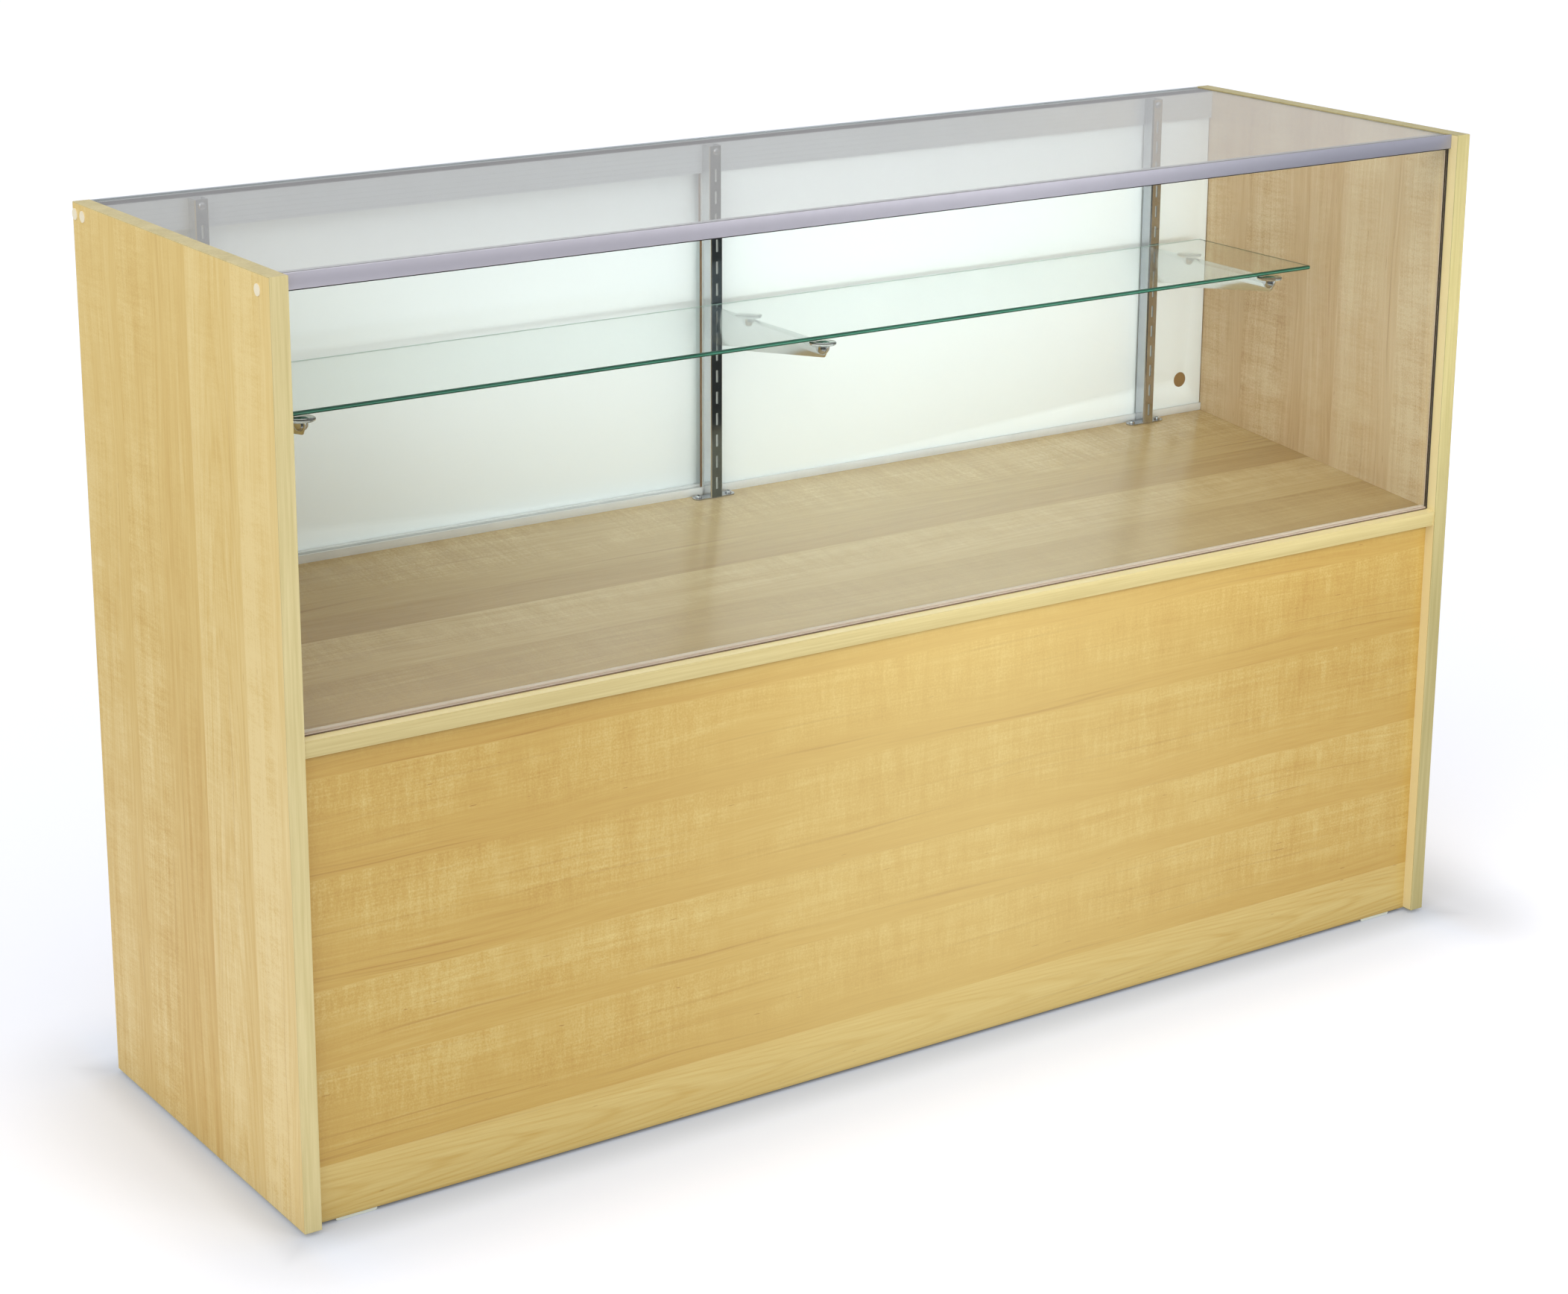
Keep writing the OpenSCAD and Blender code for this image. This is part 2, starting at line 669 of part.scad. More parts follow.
// Doors: the right one runs in the front channel, the left one in the rear channel
module door(side, y) {
    z0 = track_floor_z(y + door_t / 2) + door_foot_gap;
    color(door_white) sided(side) difference() {
        across(inner_x - door_end_gap - door_w, inner_x - door_end_gap)
            rect([y - door_t / 2, z0], [y + door_t / 2, door_top_z]);
        translate([pull_x, y - door_t / 2 - over, pull_z]) rod_y(pull_bore_d, door_t + 2 * over);
    }
}

// A finger cup: closed towards the goods, open and flanged on the clerk's side
module door_pull(side, y) {
    back = y + door_t / 2;
    floor_y = y - door_t / 2 + 0.3;
    color(hardboard) sided(side) translate([pull_x, 0, pull_z]) difference() {
        union() {
            translate([0, floor_y, 0]) rod_y(pull_d, back - floor_y);
            translate([0, back, 0]) rod_y(pull_d + 2 * pull_flange_w, pull_flange_t);
        }
        translate([0, floor_y + pull_wall, 0]) rod_y(pull_d - 2 * pull_wall, door_t + pull_flange_t);
    }
}

// A slotted standard: a U channel, open to the back, with its foot cut to the deck
module standard(x) {
    half = standard_w / 2;
    low = foot_z - standard_d;
    color(chrome) difference() {
        translate([x, standard_face, low]) linear_extrude(standard_top - low) difference() {
            union() {
                rect([-half + standard_r, 0], [half - standard_r, standard_d]);
                rect([-half, standard_r], [half, standard_d]);
                for (e = [-1, 1]) translate([e * (half - standard_r), standard_r]) circle(r = standard_r);
            }
            rect([-half + standard_wall, standard_wall], [half - standard_wall, standard_d + over]);
        }
        on_deck() translate([x - standard_w, clip_s - standard_w, -3 * standard_d])
            cube([2 * standard_w, 2 * standard_w, 3 * standard_d + clip_t]);
        for (i = [0 : slot_count - 1]) translate([x, standard_face, slot_z0 + i * slot_pitch])
            cube([slot_w, 3 * standard_wall, slot_l], center = true);
        translate([x, standard_face - over, top_screw_z]) rod_y(screw_d + 2 * pin_gap, standard_wall + 2 * over);
    }
}

// The clip under a standard: a plate with two screwed ears and a tab inside the channel
module standard_clip(x) {
    tab_w = standard_w - 2 * standard_wall - 2;
    r = clip_w / 2;
    end = clip_l / 2 - r;
    color(chrome) on_deck() translate([x, clip_s, 0]) difference() {
        union() {
            linear_extrude(clip_t) {
                rect([-end, -r], [end, r]);
                for (e = [-1, 1]) translate([e * end, 0]) circle(r = r);
            }
            translate([-tab_w / 2, -clip_t / 2, 0]) cube([tab_w, clip_t, 10]);
        }
        for (e = [-1, 1]) translate([e * clip_hole_spacing / 2, 0, -over])
            cylinder(d = screw_d + 2 * pin_gap, h = clip_t + 2 * over);
    }
}

// One hook of a bracket, as (y, z) points from its foot up: a tongue through the slot, a tail behind the face
function hook(slot_z, high) = let (low = slot_z - slot_l / 2,
    inside = standard_face + standard_wall + hook_gap, back = inside + hook_t) [[standard_face, low],
    [inside, low], [inside, low - hook_tail], [back, low - hook_tail], [back, high], [standard_face, high]];

module bracket(x) {
    face = standard_face;
    nose = face - blade_l;
    root_low = blade_top - blade_root_h;
    nose_low = blade_top - blade_nose_h;
    color(chrome) across(x - blade_t / 2, x + blade_t / 2) {
        polygon(concat([[face - 12, root_low], [face, root_low]],
            hook(lower_slot_z, lower_slot_z + slot_l / 2 - 2), hook(upper_slot_z, blade_top),
            [[nose + 1, blade_top], [nose, blade_top - 1], [nose + 6.2, nose_low + 2],
            [nose + 7.6, nose_low + 0.5], [nose + 9.6, nose_low]]));
    }
}

// A shelf rest: a split knob that straddles the blade
module shelf_rest(x, y) {
    r = rest_d / 2;
    color(chrome) translate([x, y, blade_top]) difference() {
        rotate_extrude() intersection() {
            rect([0, -rest_drop], [r, rest_crown_t]);
            union() {
                translate([0, r - rest_drop]) circle(r = r);
                rect([0, r - rest_drop], [r, rest_crown_t]);
            }
        }
        translate([-blade_t / 2 - pin_gap, -rest_d, -rest_drop - over])
            cube([blade_t + 2 * pin_gap, 2 * rest_d, rest_drop + over]);
    }
}

module shelf_rest_pads() {
    color(clear_glass) for (x = standard_xs, y = rest_ys)
        translate([x, y, crown_z]) cylinder(d = pad_d, h = pad_t);
}

// A glide: a low plastic shoe with rounded lower corners
module glide(spot) {
    r = glide_r;
    half = glide_l / 2;
    color(pale_plastic) difference() {
        translate([spot[0], spot[1] + glide_w / 2, 0]) rotate([90, 0, 0]) linear_extrude(glide_w) {
            rect([-half + r, 0], [half - r, glide_h]);
            rect([-half, r], [half, glide_h]);
            for (e = [-1, 1]) intersection() {
                translate([e * (half - r), r]) circle(r = r);
                rect([-half, 0], [half, r]);
            }
        }
        at_nails([spot]) {
            translate([0, 0, -over]) cylinder(d = nail_d + 2 * pin_gap, h = glide_h + 2 * over);
            translate([0, 0, -over]) cylinder(d = nail_head_d + 2 * pin_gap, h = nail_head_z + over);
        }
    }
}

module glide_nails() {
    head = 1;
    color(zinc) at_nails(concat(front_glides, rear_glides)) {
        translate([0, 0, nail_head_z - head]) cylinder(d = nail_head_d, h = head);
        translate([0, 0, nail_head_z - over]) cylinder(d = nail_d, h = nail_l + over);
    }
}

// A pan-head screw: head above z = 0, shank below
module pan_screw(l) {
    r = pan_head_d / 2;
    difference() {
        union() {
            translate([0, 0, -l]) cylinder(d = screw_d, h = l + over);
            rotate_extrude() polygon([[0, 0], [r, 0], [r, pan_head_h * 0.45], [r * 0.8, pan_head_h * 0.85],
                [r * 0.45, pan_head_h], [0, pan_head_h]]);
        }
        for (turn = [0, 90]) rotate([0, 0, turn]) translate([-r * 0.55, -0.5, pan_head_h - 1.4])
            cube([r * 1.1, 1, 2]);
    }
}

module standard_top_screws() {
    reach = standard_d + rail_wall + 2.4;
    color(chrome) for (x = standard_xs) translate([x, standard_face, top_screw_z])
        rotate([90, 0, 0]) pan_screw(reach);
}

module clip_screws() {
    color(chrome) on_deck() at_clip_screws() translate([0, 0, clip_t]) pan_screw(deck_screw_l);
}

module track_screws() {
    color(zinc) on_deck() at_track_screws() translate([0, 0, track_floor]) {
        translate([0, 0, -flat_head_h]) cylinder(d1 = screw_d, d2 = flat_head_d, h = flat_head_h);
        translate([0, 0, -deck_screw_l]) cylinder(d = screw_d, h = deck_screw_l - flat_head_h + 0.2);
    }
}

module rail_screws() {
    color(zinc) for (side = [-1, 1], site = rail_screw_sites) sided(side)
        translate([outer_x - counterbore_depth, site[0], site[1]]) rotate([0, 90, 0]) pan_screw(rail_screw_l);
}

module screw_cover_caps() {
    plug = 1.6;
    color(pale_plastic) for (side = [-1, 1], site = rail_screw_sites) sided(side)
        translate([outer_x, site[0], site[1]]) {
            rod_x(cap_d, cap_h);
            translate([-plug, 0, 0]) rod_x(counterbore_d - 2 * pin_gap, plug + cap_h / 2);
        }
}

// Knock-down fittings
module cam_bolts() {
    thread = panel_hole_depth - 1;
    color(zinc) at_sites(cam_sites) {
        rod_x(cam_bolt_d, thread);
        translate([-cam_dist + 5, 0, 0]) rod_x(cam_shaft_d, cam_dist - 5);
        translate([-cam_dist, 0, 0]) rod_x(cam_shaft_d - 2.4, 6);
        translate([-cam_dist - 2, 0, 0]) rod_x(cam_shaft_d, 2.4);
    }
}

module cam_discs() {
    h = cam_depth - 0.4;
    color(zinc) at_sites(cam_sites) translate([-cam_dist, 0, $board_t / 2 - cam_depth + 0.2]) difference() {
        cylinder(d = cam_d, h = h);
        translate([-3, 0, cam_depth - 0.2 - $board_t / 2]) rod_x(cam_shaft_d + 0.6, cam_d);
        for (turn = [0, 90]) rotate([0, 0, turn]) translate([-4, -0.6, h - 2]) cube([8, 1.2, 3]);
    }
}

module wood_dowels() {
    color(beech) {
        at_sites(dowel_sites) translate([panel_dowel_depth - 1 - dowel_l, 0, 0]) rod_x(dowel_d, dowel_l);
        for (y = partition_dowel_ys) translate([0, y, bottom_top - board_dowel_seat + 1])
            cylinder(d = dowel_d, h = dowel_l);
    }
}

end_panel(-1);  // left_end_panel
end_panel(1);  // right_end_panel
panel_edging(-1);  // left_panel_edging
panel_edging(1);  // right_panel_edging
deck_panel();
deck_edging();
front_panel();
bottom_panel();
centre_partition();
rear_toe_rail();
front_top_rail();
rear_top_rail();
lower_door_track();
top_glass();
front_glass();
glass_shelf();
glazing_tape(front_rail_y + rail_wall, front_tape_w);  // front_glazing_tape
glazing_tape(rear_rail_y + rail_wall, rear_tape_w);  // rear_glazing_tape
front_rail_gasket();
glass_sill_seal();
glass_seal(-1);  // left_glass_seal
glass_seal(1);  // right_glass_seal
door(-1, rear_door_y);  // left_door
door(1, front_door_y);  // right_door
door_pull(-1, rear_door_y);  // left_door_pull
door_pull(1, front_door_y);  // right_door_pull
standard(standard_xs[0]);  // left_standard
standard(standard_xs[1]);  // centre_standard
standard(standard_xs[2]);  // right_standard
standard_clip(standard_xs[0]);  // left_standard_clip
standard_clip(standard_xs[1]);  // centre_standard_clip
standard_clip(standard_xs[2]);  // right_standard_clip
bracket(standard_xs[0]);  // left_bracket
bracket(standard_xs[1]);  // centre_bracket
bracket(standard_xs[2]);  // right_bracket
shelf_rest(standard_xs[0], rest_ys[0]);  // left_front_rest
shelf_rest(standard_xs[0], rest_ys[1]);  // left_rear_rest
shelf_rest(standard_xs[1], rest_ys[0]);  // centre_front_rest
shelf_rest(standard_xs[1], rest_ys[1]);  // centre_rear_rest
shelf_rest(standard_xs[2], rest_ys[0]);  // right_front_rest
shelf_rest(standard_xs[2], rest_ys[1]);  // right_rear_rest
shelf_rest_pads();
glide(front_glides[0]);  // front_left_glide
glide(front_glides[1]);  // front_right_glide
glide(rear_glides[0]);  // rear_left_glide
glide(rear_glides[1]);  // rear_right_glide
glide_nails();
standard_top_screws();
clip_screws();
track_screws();
rail_screws();
screw_cover_caps();
cam_bolts();
cam_discs();
wood_dowels();
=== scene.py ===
# %% [markdown]
# # A glass-topped shop display case
#
# The case is a maple-look base with a glass box on top. Boards, rails, glass and doors were drawn to size
# in CAD. Here they get their surfaces, and the parts whose small shapes catch the light are made again
# with softer edges.

# %% Load the case as it was drawn
import math
import bpy
from mathutils import Matrix, Vector


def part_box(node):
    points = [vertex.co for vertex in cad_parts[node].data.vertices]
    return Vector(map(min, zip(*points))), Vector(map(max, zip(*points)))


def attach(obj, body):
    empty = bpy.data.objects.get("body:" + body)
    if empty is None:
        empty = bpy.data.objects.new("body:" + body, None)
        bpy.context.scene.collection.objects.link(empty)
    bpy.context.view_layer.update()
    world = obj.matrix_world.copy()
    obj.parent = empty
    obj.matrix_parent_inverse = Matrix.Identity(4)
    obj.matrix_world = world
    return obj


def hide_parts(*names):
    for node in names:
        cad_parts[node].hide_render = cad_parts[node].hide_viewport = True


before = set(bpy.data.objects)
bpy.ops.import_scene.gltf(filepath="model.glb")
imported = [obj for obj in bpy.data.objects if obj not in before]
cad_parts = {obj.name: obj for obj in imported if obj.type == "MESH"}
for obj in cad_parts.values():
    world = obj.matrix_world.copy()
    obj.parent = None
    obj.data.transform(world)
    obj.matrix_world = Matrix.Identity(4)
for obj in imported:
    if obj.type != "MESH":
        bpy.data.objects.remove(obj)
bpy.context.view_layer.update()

mm = 0.001
half_width = 762.0
half_depth = 228.6
standard_x = {"left": -640.95, "centre": -11.5, "right": 640.95}

# %% [markdown]
# ## The camera
#
# The picture was taken from in front of the left end, a little above the case. Its upright edges stay
# parallel, as with a lens that is shifted up. Every other view of the case is taken with this same lens
# and would lose the case with a large shift, so the shift is small here and the uprights lean outwards a
# little. The place, the turn and the lens come from the corners of the case.

# %% Camera
turned_right, looking_down, tipped = 34.293, 15.828, 0.341
camera_data = bpy.data.cameras.new("studio_camera")
camera_data.sensor_width = 36
camera_data.lens = 76.0
camera_data.shift_y = -0.08
camera = bpy.data.objects.new("studio_camera", camera_data)
bpy.context.scene.collection.objects.link(camera)
camera.location = (-2.0361, -2.9277, 1.5738)
heading = Matrix.Rotation(math.radians(-turned_right), 3, "Z")
aim = heading @ Matrix.Rotation(math.radians(90 - looking_down), 3, "X")
camera.rotation_euler = (aim @ Matrix.Rotation(math.radians(tipped), 3, "Z")).to_euler()
bpy.context.scene.camera = camera
bpy.context.scene.view_settings.view_transform = "Standard"
print("lens", camera_data.lens, "mm at", tuple(camera.location))

# %% [markdown]
# ## Short words for wiring
#
# A finish is a small graph of nodes. Each node is added with its settings and with what feeds it, so that
# a line of the script reads as one step of the recipe.

# %% Wiring helpers
def feed(tree, socket, value):
    if isinstance(value, bpy.types.NodeSocket):
        tree.links.new(value, socket)
    else:
        socket.default_value = value


def add(tree, kind, feeds=None, **settings):
    node = tree.nodes.new("ShaderNode" + kind)
    for key, value in settings.items():
        setattr(node, key, value)
    for key, value in (feeds or {}).items():
        feed(tree, node.inputs[key], value)
    return node


def calc(tree, operation, first, second=0.0, third=0.0):
    feeds = {0: first, 1: second}
    if operation == "MULTIPLY_ADD":
        feeds[2] = third
    return add(tree, "Math", feeds, operation=operation).outputs[0]


def window(tree, value, low, high, to_low=0.0, to_high=1.0):
    feeds = {"Value": value, "From Min": low, "From Max": high, "To Min": to_low, "To Max": to_high}
    return add(tree, "MapRange", feeds, interpolation_type="SMOOTHSTEP").outputs[0]


def blend(tree, share, first, second, mode="MIX"):
    feeds = {0: share, 6: first, 7: second}
    return add(tree, "Mix", feeds, data_type="RGBA", blend_type=mode).outputs[2]


def object_spot(tree):
    return add(tree, "TexCoord").outputs["Object"]


def paint(code):
    parts = [int(code[i:i + 2], 16) / 255 for i in (1, 3, 5)]
    return tuple(p / 12.92 if p <= 0.04045 else ((p + 0.055) / 1.055) ** 2.4 for p in parts) + (1.0,)


print("mid grey paints as", [round(v, 3) for v in paint("#808080")])

# %% [markdown]
# ## The studio
#
# The picture has a white surround, but the glass and the chrome mirror a greyer room than that: such a
# picture is taken in a grey studio and cut out afterwards. So whoever sees the world straight or through
# glass gets white, and a mirror gets a grey room with a bright ceiling. The glossy depth of a ray says
# whether it was mirrored.

# %% World
def seen_by(tree):
    ray = add(tree, "LightPath")
    seen = calc(tree, "MAXIMUM", ray.outputs["Is Camera Ray"], ray.outputs["Is Glossy Ray"])
    seen = calc(tree, "MAXIMUM", seen, ray.outputs["Is Transmission Ray"])
    mirrored = calc(tree, "GREATER_THAN", ray.outputs["Glossy Depth"], 0.5)
    return seen, mirrored


room_grey = 0.60
ceiling_starts, ceiling_full = 0.40, 0.75
daylight, daylight_level = (0.97, 0.98, 1.0, 1), 0.82
world = bpy.data.worlds.new("studio_white")
bpy.context.scene.world = world
world.use_nodes = True
sky = world.node_tree
sky.nodes.clear()
seen, mirrored = seen_by(sky)
height = add(sky, "SeparateXYZ", {0: add(sky, "TexCoord").outputs["Generated"]}).outputs["Z"]
ceiling = window(sky, height, ceiling_starts, ceiling_full, room_grey, 1.0)
level = add(sky, "Mix", {0: mirrored, 2: 1.0, 3: ceiling}).outputs[0]
soft = add(sky, "Background", {"Color": daylight, "Strength": daylight_level})
white = add(sky, "Background", {"Color": (1, 1, 1, 1), "Strength": level})
both = add(sky, "MixShader", {0: seen, 1: soft.outputs[0], 2: white.outputs[0]})
add(sky, "OutputWorld", {"Surface": both.outputs[0]})
print("world made")

# %% [markdown]
# ## Lamps
#
# Light falls in softly from the left, a wide box of light stands in front, and a narrow strip of light
# lifts the doors behind the shelf. The two boxes give light only: no camera, mirror or pane shows them,
# because the picture shows no bright rectangles either.

# %% Lamps
def hang(name, light, place=(0, 0, 0)):
    lamp = bpy.data.objects.new(name, light)
    bpy.context.scene.collection.objects.link(lamp)
    lamp.location = place
    return lamp


def wide_sun(name, towards, level, spread, tint):
    light = bpy.data.lights.new(name, "SUN")
    light.energy = level * math.pi
    light.angle = math.radians(spread)
    light.color = tint
    lamp = hang(name, light)
    lamp.rotation_euler = Vector(towards).to_track_quat("Z", "Y").to_euler()


def soft_lamp(name, place, size, watts, tint, target, spread=180):
    light = bpy.data.lights.new(name, "AREA")
    light.shape = "RECTANGLE"
    light.size, light.size_y = size
    light.energy = watts
    light.color = tint
    light.spread = math.radians(spread)
    lamp = hang(name, light, place)
    lamp.rotation_euler = (Vector(target) - Vector(place)).to_track_quat("-Z", "Y").to_euler()
    lamp.visible_camera = False
    lamp.visible_glossy = False
    lamp.visible_transmission = False


warm, faintly_warm, cool = (1.0, 0.985, 0.96), (1.0, 0.99, 0.97), (0.94, 0.99, 1.0)
wide_sun("left_window", (-0.72, -0.42, 0.62), 0.26, 50, warm)
soft_lamp("front_box", (0.3, -2.0, 1.0), (0.9, 0.9), 11, faintly_warm, (0.1, 0, 0.45))
soft_lamp("door_strip", (0.40, -1.5, 0.80), (1.1, 0.12), 0.90, cool, (0.35, 0.2, 0.74), 34)
print("lamps made")

# %% [markdown]
# ## The floor
#
# A wide sheet of white board. It takes the shadow of the case like any matt surface, and adds a little
# white of its own where it is seen, which lifts it to the white of the picture and leaves the shadow in
# place. Mirrors see it darker with distance, like the floor of a grey studio.

# %% Floor sheet
bpy.ops.mesh.primitive_circle_add(vertices=64, radius=14, fill_type="NGON", location=(0, 0, 0))
floor = bpy.context.object
floor.name = "studio_floor"
board = bpy.data.materials.new("studio_floor_white")
board.use_nodes = True
floor_tree = board.node_tree
floor_tree.nodes.clear()
floor.data.materials.append(board)
print("floor", round(floor.dimensions.x, 1), "m wide")

# %% [markdown]
# ## Shade at the foot of the case
#
# Little light reaches the floor beside the case, and hardly any gets into the gap of a few millimetres
# under its front panel. The distance from a rectangle a little smaller than the case says how deep the
# shade is. It is bluish in front of the case and grey beside the ends, and it is deeper at the right end,
# which faces away from the light.

# %% Foot shade
def floor_calc(operation, first, second=0.0):
    return calc(floor_tree, operation, first, second)


def past(half_x, half_y):
    past_end = floor_calc("SUBTRACT", across_x, half_x)
    past_front = floor_calc("SUBTRACT", across_y, half_y)
    return floor_calc("MAXIMUM", past_end, past_front)


def cooler(in_front, beside_ends):
    power = window(floor_tree, beyond_x, 0.0, 0.05, in_front, beside_ends)
    return floor_calc("MULTIPLY", floor_calc("POWER", foot, power), right_end)


inner_x, panel_front_y = 0.743, 0.2146
rectangle_x, rectangle_y = 0.74, 0.21
floor_spot = object_spot(floor_tree)
floor_axes = add(floor_tree, "SeparateXYZ", {0: floor_spot}).outputs
across_x = floor_calc("ABSOLUTE", floor_axes[0])
across_y = floor_calc("ABSOLUTE", floor_axes[1])
beyond_x = floor_calc("MAXIMUM", floor_calc("SUBTRACT", across_x, rectangle_x), 0)
beyond_y = floor_calc("MAXIMUM", floor_calc("SUBTRACT", across_y, rectangle_y), 0)
off_corner = add(floor_tree, "CombineXYZ", {0: beyond_x, 1: beyond_y}).outputs[0]
distance = add(floor_tree, "VectorMath", {0: off_corner}, operation="LENGTH").outputs["Value"]
foot = window(floor_tree, distance, 0.0, 0.21, 0.73, 1.0)
right_end = floor_calc("MULTIPLY", window(floor_tree, floor_axes[0], 0.70, 0.84),
                       window(floor_tree, distance, 0.0, 0.26, 0.30, 0.0))
right_end = floor_calc("SUBTRACT", 1.0, right_end)
foot_red = floor_calc("MULTIPLY", foot, right_end)
foot_green, foot_blue = cooler(0.80, 1.0), cooler(0.55, 1.05)
foot_tone = add(floor_tree, "CombineColor", {0: foot_red, 1: foot_green, 2: foot_blue}).outputs[0]
under_case = window(floor_tree, past(inner_x, panel_front_y), -0.012, 0.002, 0.20, 1.0)
beside_case = window(floor_tree, past(half_width * mm, half_depth * mm), -0.01, 0.05, 0.76, 1.0)
dark_gap = floor_calc("MULTIPLY", under_case, beside_case)
foot_tone = add(floor_tree, "VectorMath", {0: foot_tone, "Scale": dark_gap}, operation="SCALE").outputs[0]
print("foot shade has", len(floor_tree.nodes), "nodes")

# %% [markdown]
# ## Floor finish
#
# The board's own tone is a cool white. The shade multiplies it, and the dark gap takes away the added
# white too, so that the gap stays dark.

# %% Floor finish
floor_white = (0.84, 0.856, 0.92, 1)
added_white = 0.22
seen, mirrored = seen_by(floor_tree)
away = add(floor_tree, "VectorMath", {0: floor_spot}, operation="LENGTH").outputs["Value"]
near_to_far = {"Value": away, "From Min": 1.1, "From Max": 2.1, "To Min": 0.60, "To Max": 0.07}
far = add(floor_tree, "MapRange", near_to_far).outputs[0]
mirrored_tone = add(floor_tree, "CombineColor", {i: far for i in range(3)}).outputs[0]
tone = blend(floor_tree, mirrored, floor_white, mirrored_tone)
shade = blend(floor_tree, 1.0, tone, foot_tone, "MULTIPLY")
lift_level = add(floor_tree, "Mix", {0: mirrored, 2: added_white, 3: 0.0}).outputs[0]
lift_level = floor_calc("MULTIPLY", seen, floor_calc("MULTIPLY", lift_level, dark_gap))
matt = add(floor_tree, "BsdfDiffuse", {"Color": shade})
lift = add(floor_tree, "Emission", {"Color": (1, 1, 1, 1), "Strength": lift_level})
sheet = add(floor_tree, "AddShader", {0: matt.outputs[0], 1: lift.outputs[0]})
add(floor_tree, "OutputMaterial", {"Surface": sheet.outputs[0]})
print("floor finish has", len(floor_tree.nodes), "nodes")

# %% [markdown]
# ## Words for finishes
#
# Most finishes are a noise that is stretched along the grain, a ramp of tones, a roughness and a fine
# relief. These are defined once, and every finish below is put together from them.

# %% Finish helpers
def new_finish(name):
    finish = bpy.data.materials.new(name)
    finish.use_nodes = True
    return finish, finish.node_tree, finish.node_tree.nodes["Principled BSDF"]


def stepped(tree, at, steps, low=0.0, high=1.0, smooth=False):
    ramp = add(tree, "ValToRGB", {0: at})
    bar = ramp.color_ramp
    bar.interpolation = "LINEAR" if smooth else "CONSTANT"
    while len(bar.elements) < len(steps):
        bar.elements.new(1.0)
    for element, (place, colour) in zip(bar.elements, steps):
        element.position = min(1.0, max(0.0, (place - low) / (high - low)))
        element.color = colour
    return ramp.outputs[0]


def noise(tree, vector, detail=2.0, roughness=0.5):
    feeds = {"Vector": vector, "Scale": 1.0, "Detail": detail, "Roughness": roughness}
    return add(tree, "TexNoise", feeds).outputs["Fac"]


def stretched(tree, spot, grain, detail=2.0, roughness=0.5):
    along_grain = add(tree, "VectorMath", {0: spot, 1: grain}, operation="MULTIPLY").outputs[0]
    return noise(tree, along_grain, detail, roughness)


def coat(tree, shader, colour, rough):
    feed(tree, shader.inputs["Base Color"], colour)
    feed(tree, shader.inputs["Roughness"], rough)


def emboss(tree, shader, height, strength, deep=0.0002):
    bump = add(tree, "Bump", {"Strength": strength, "Distance": deep, "Height": height})
    feed(tree, shader.inputs["Normal"], bump.outputs[0])


print("finish helpers ready")

# %% [markdown]
# ## Maple print: the planks
#
# The boards are chipboard under a printed maple foil. The print shows planks side by side. A stepped ramp
# across the grain gives each plank its tone, a number that makes its grain its own, and the strength of
# its crosswise chatter. A second ramp climbs once in each plank and says how far across it a point lies.

# %% Plank map
def plank_map(tree, wide, planks, top):
    low, high = planks[0][0] * mm, top * mm
    seam = 0.05 * mm
    share = add(tree, "MapRange", {"Value": wide, "From Min": low, "From Max": high}).outputs[0]
    starts = [start * mm for start, tone, bars in planks]
    looks = [(tone, (0.37 * i + 0.13) % 1.0, bars, 1) for i, (start, tone, bars) in enumerate(planks)]
    plank = add(tree, "SeparateColor", {0: stepped(tree, share, list(zip(starts, looks)), low, high)})
    climb = []
    for start, end in zip(starts, [*starts[1:], high]):
        climb += [(start + seam, (0, 0, 0, 1)), (end - seam, (1, 1, 1, 1))]
    rise = add(tree, "SeparateColor", {0: stepped(tree, share, climb, low, high, smooth=True)}).outputs[0]
    tone, own_number, bars = plank.outputs
    return tone, own_number, bars, rise


print("plank map ready")

# %% [markdown]
# ## Maple print: the grain
#
# Broad bands, streaks, fine fibre, thin brown threads and short brown flecks all run along the plank.
# They are the same noise with other numbers of waves per metre along and across the plank, and they all
# follow one slow bend.

# %% Grain layers
def grain_layer(tree, plank, across, waves, start, detail, roughness=0.5):
    run, own_number = plank
    spot = add(tree, "CombineXYZ", {0: calc(tree, "MULTIPLY_ADD", run, waves[0], start),
                                    1: calc(tree, "MULTIPLY", across, waves[1]),
                                    2: calc(tree, "MULTIPLY", own_number, 41.0)})
    return noise(tree, spot.outputs[0], detail, roughness)


def grain_layers(tree, plank, wide):
    bend = calc(tree, "SUBTRACT", grain_layer(tree, plank, wide, (2.3, 6.0), 3.1, 2.0), 0.5)
    bent = calc(tree, "MULTIPLY_ADD", bend, 0.034, wide)
    broad = grain_layer(tree, plank, bent, (1.3, 30.0), 1.0, 3.0, 0.55)
    streaks = grain_layer(tree, plank, bent, (5.0, 150.0), 9.0, 3.0, 0.65)
    fibre = grain_layer(tree, plank, bent, (16.0, 520.0), 7.0, 2.0, 0.6)
    thread = grain_layer(tree, plank, bent, (2.4, 190.0), 11.0, 2.0)
    fleck = grain_layer(tree, plank, bent, (62.0, 520.0), 5.0, 0.0)
    return broad, streaks, fibre, thread, fleck


print("grain layers ready")

# %% [markdown]
# ## Maple print: the chatter
#
# In its upper part a plank has patches of a fine crosswise net, as a plane leaves on curly maple. It is
# printed alike in every plank, so it is laid out by the rise across the plank and not by the place on the
# board.

# %% Crosswise chatter
def sway(tree, level, layer, middle, amount):
    return calc(tree, "MULTIPLY_ADD", calc(tree, "SUBTRACT", layer, middle), amount, level)


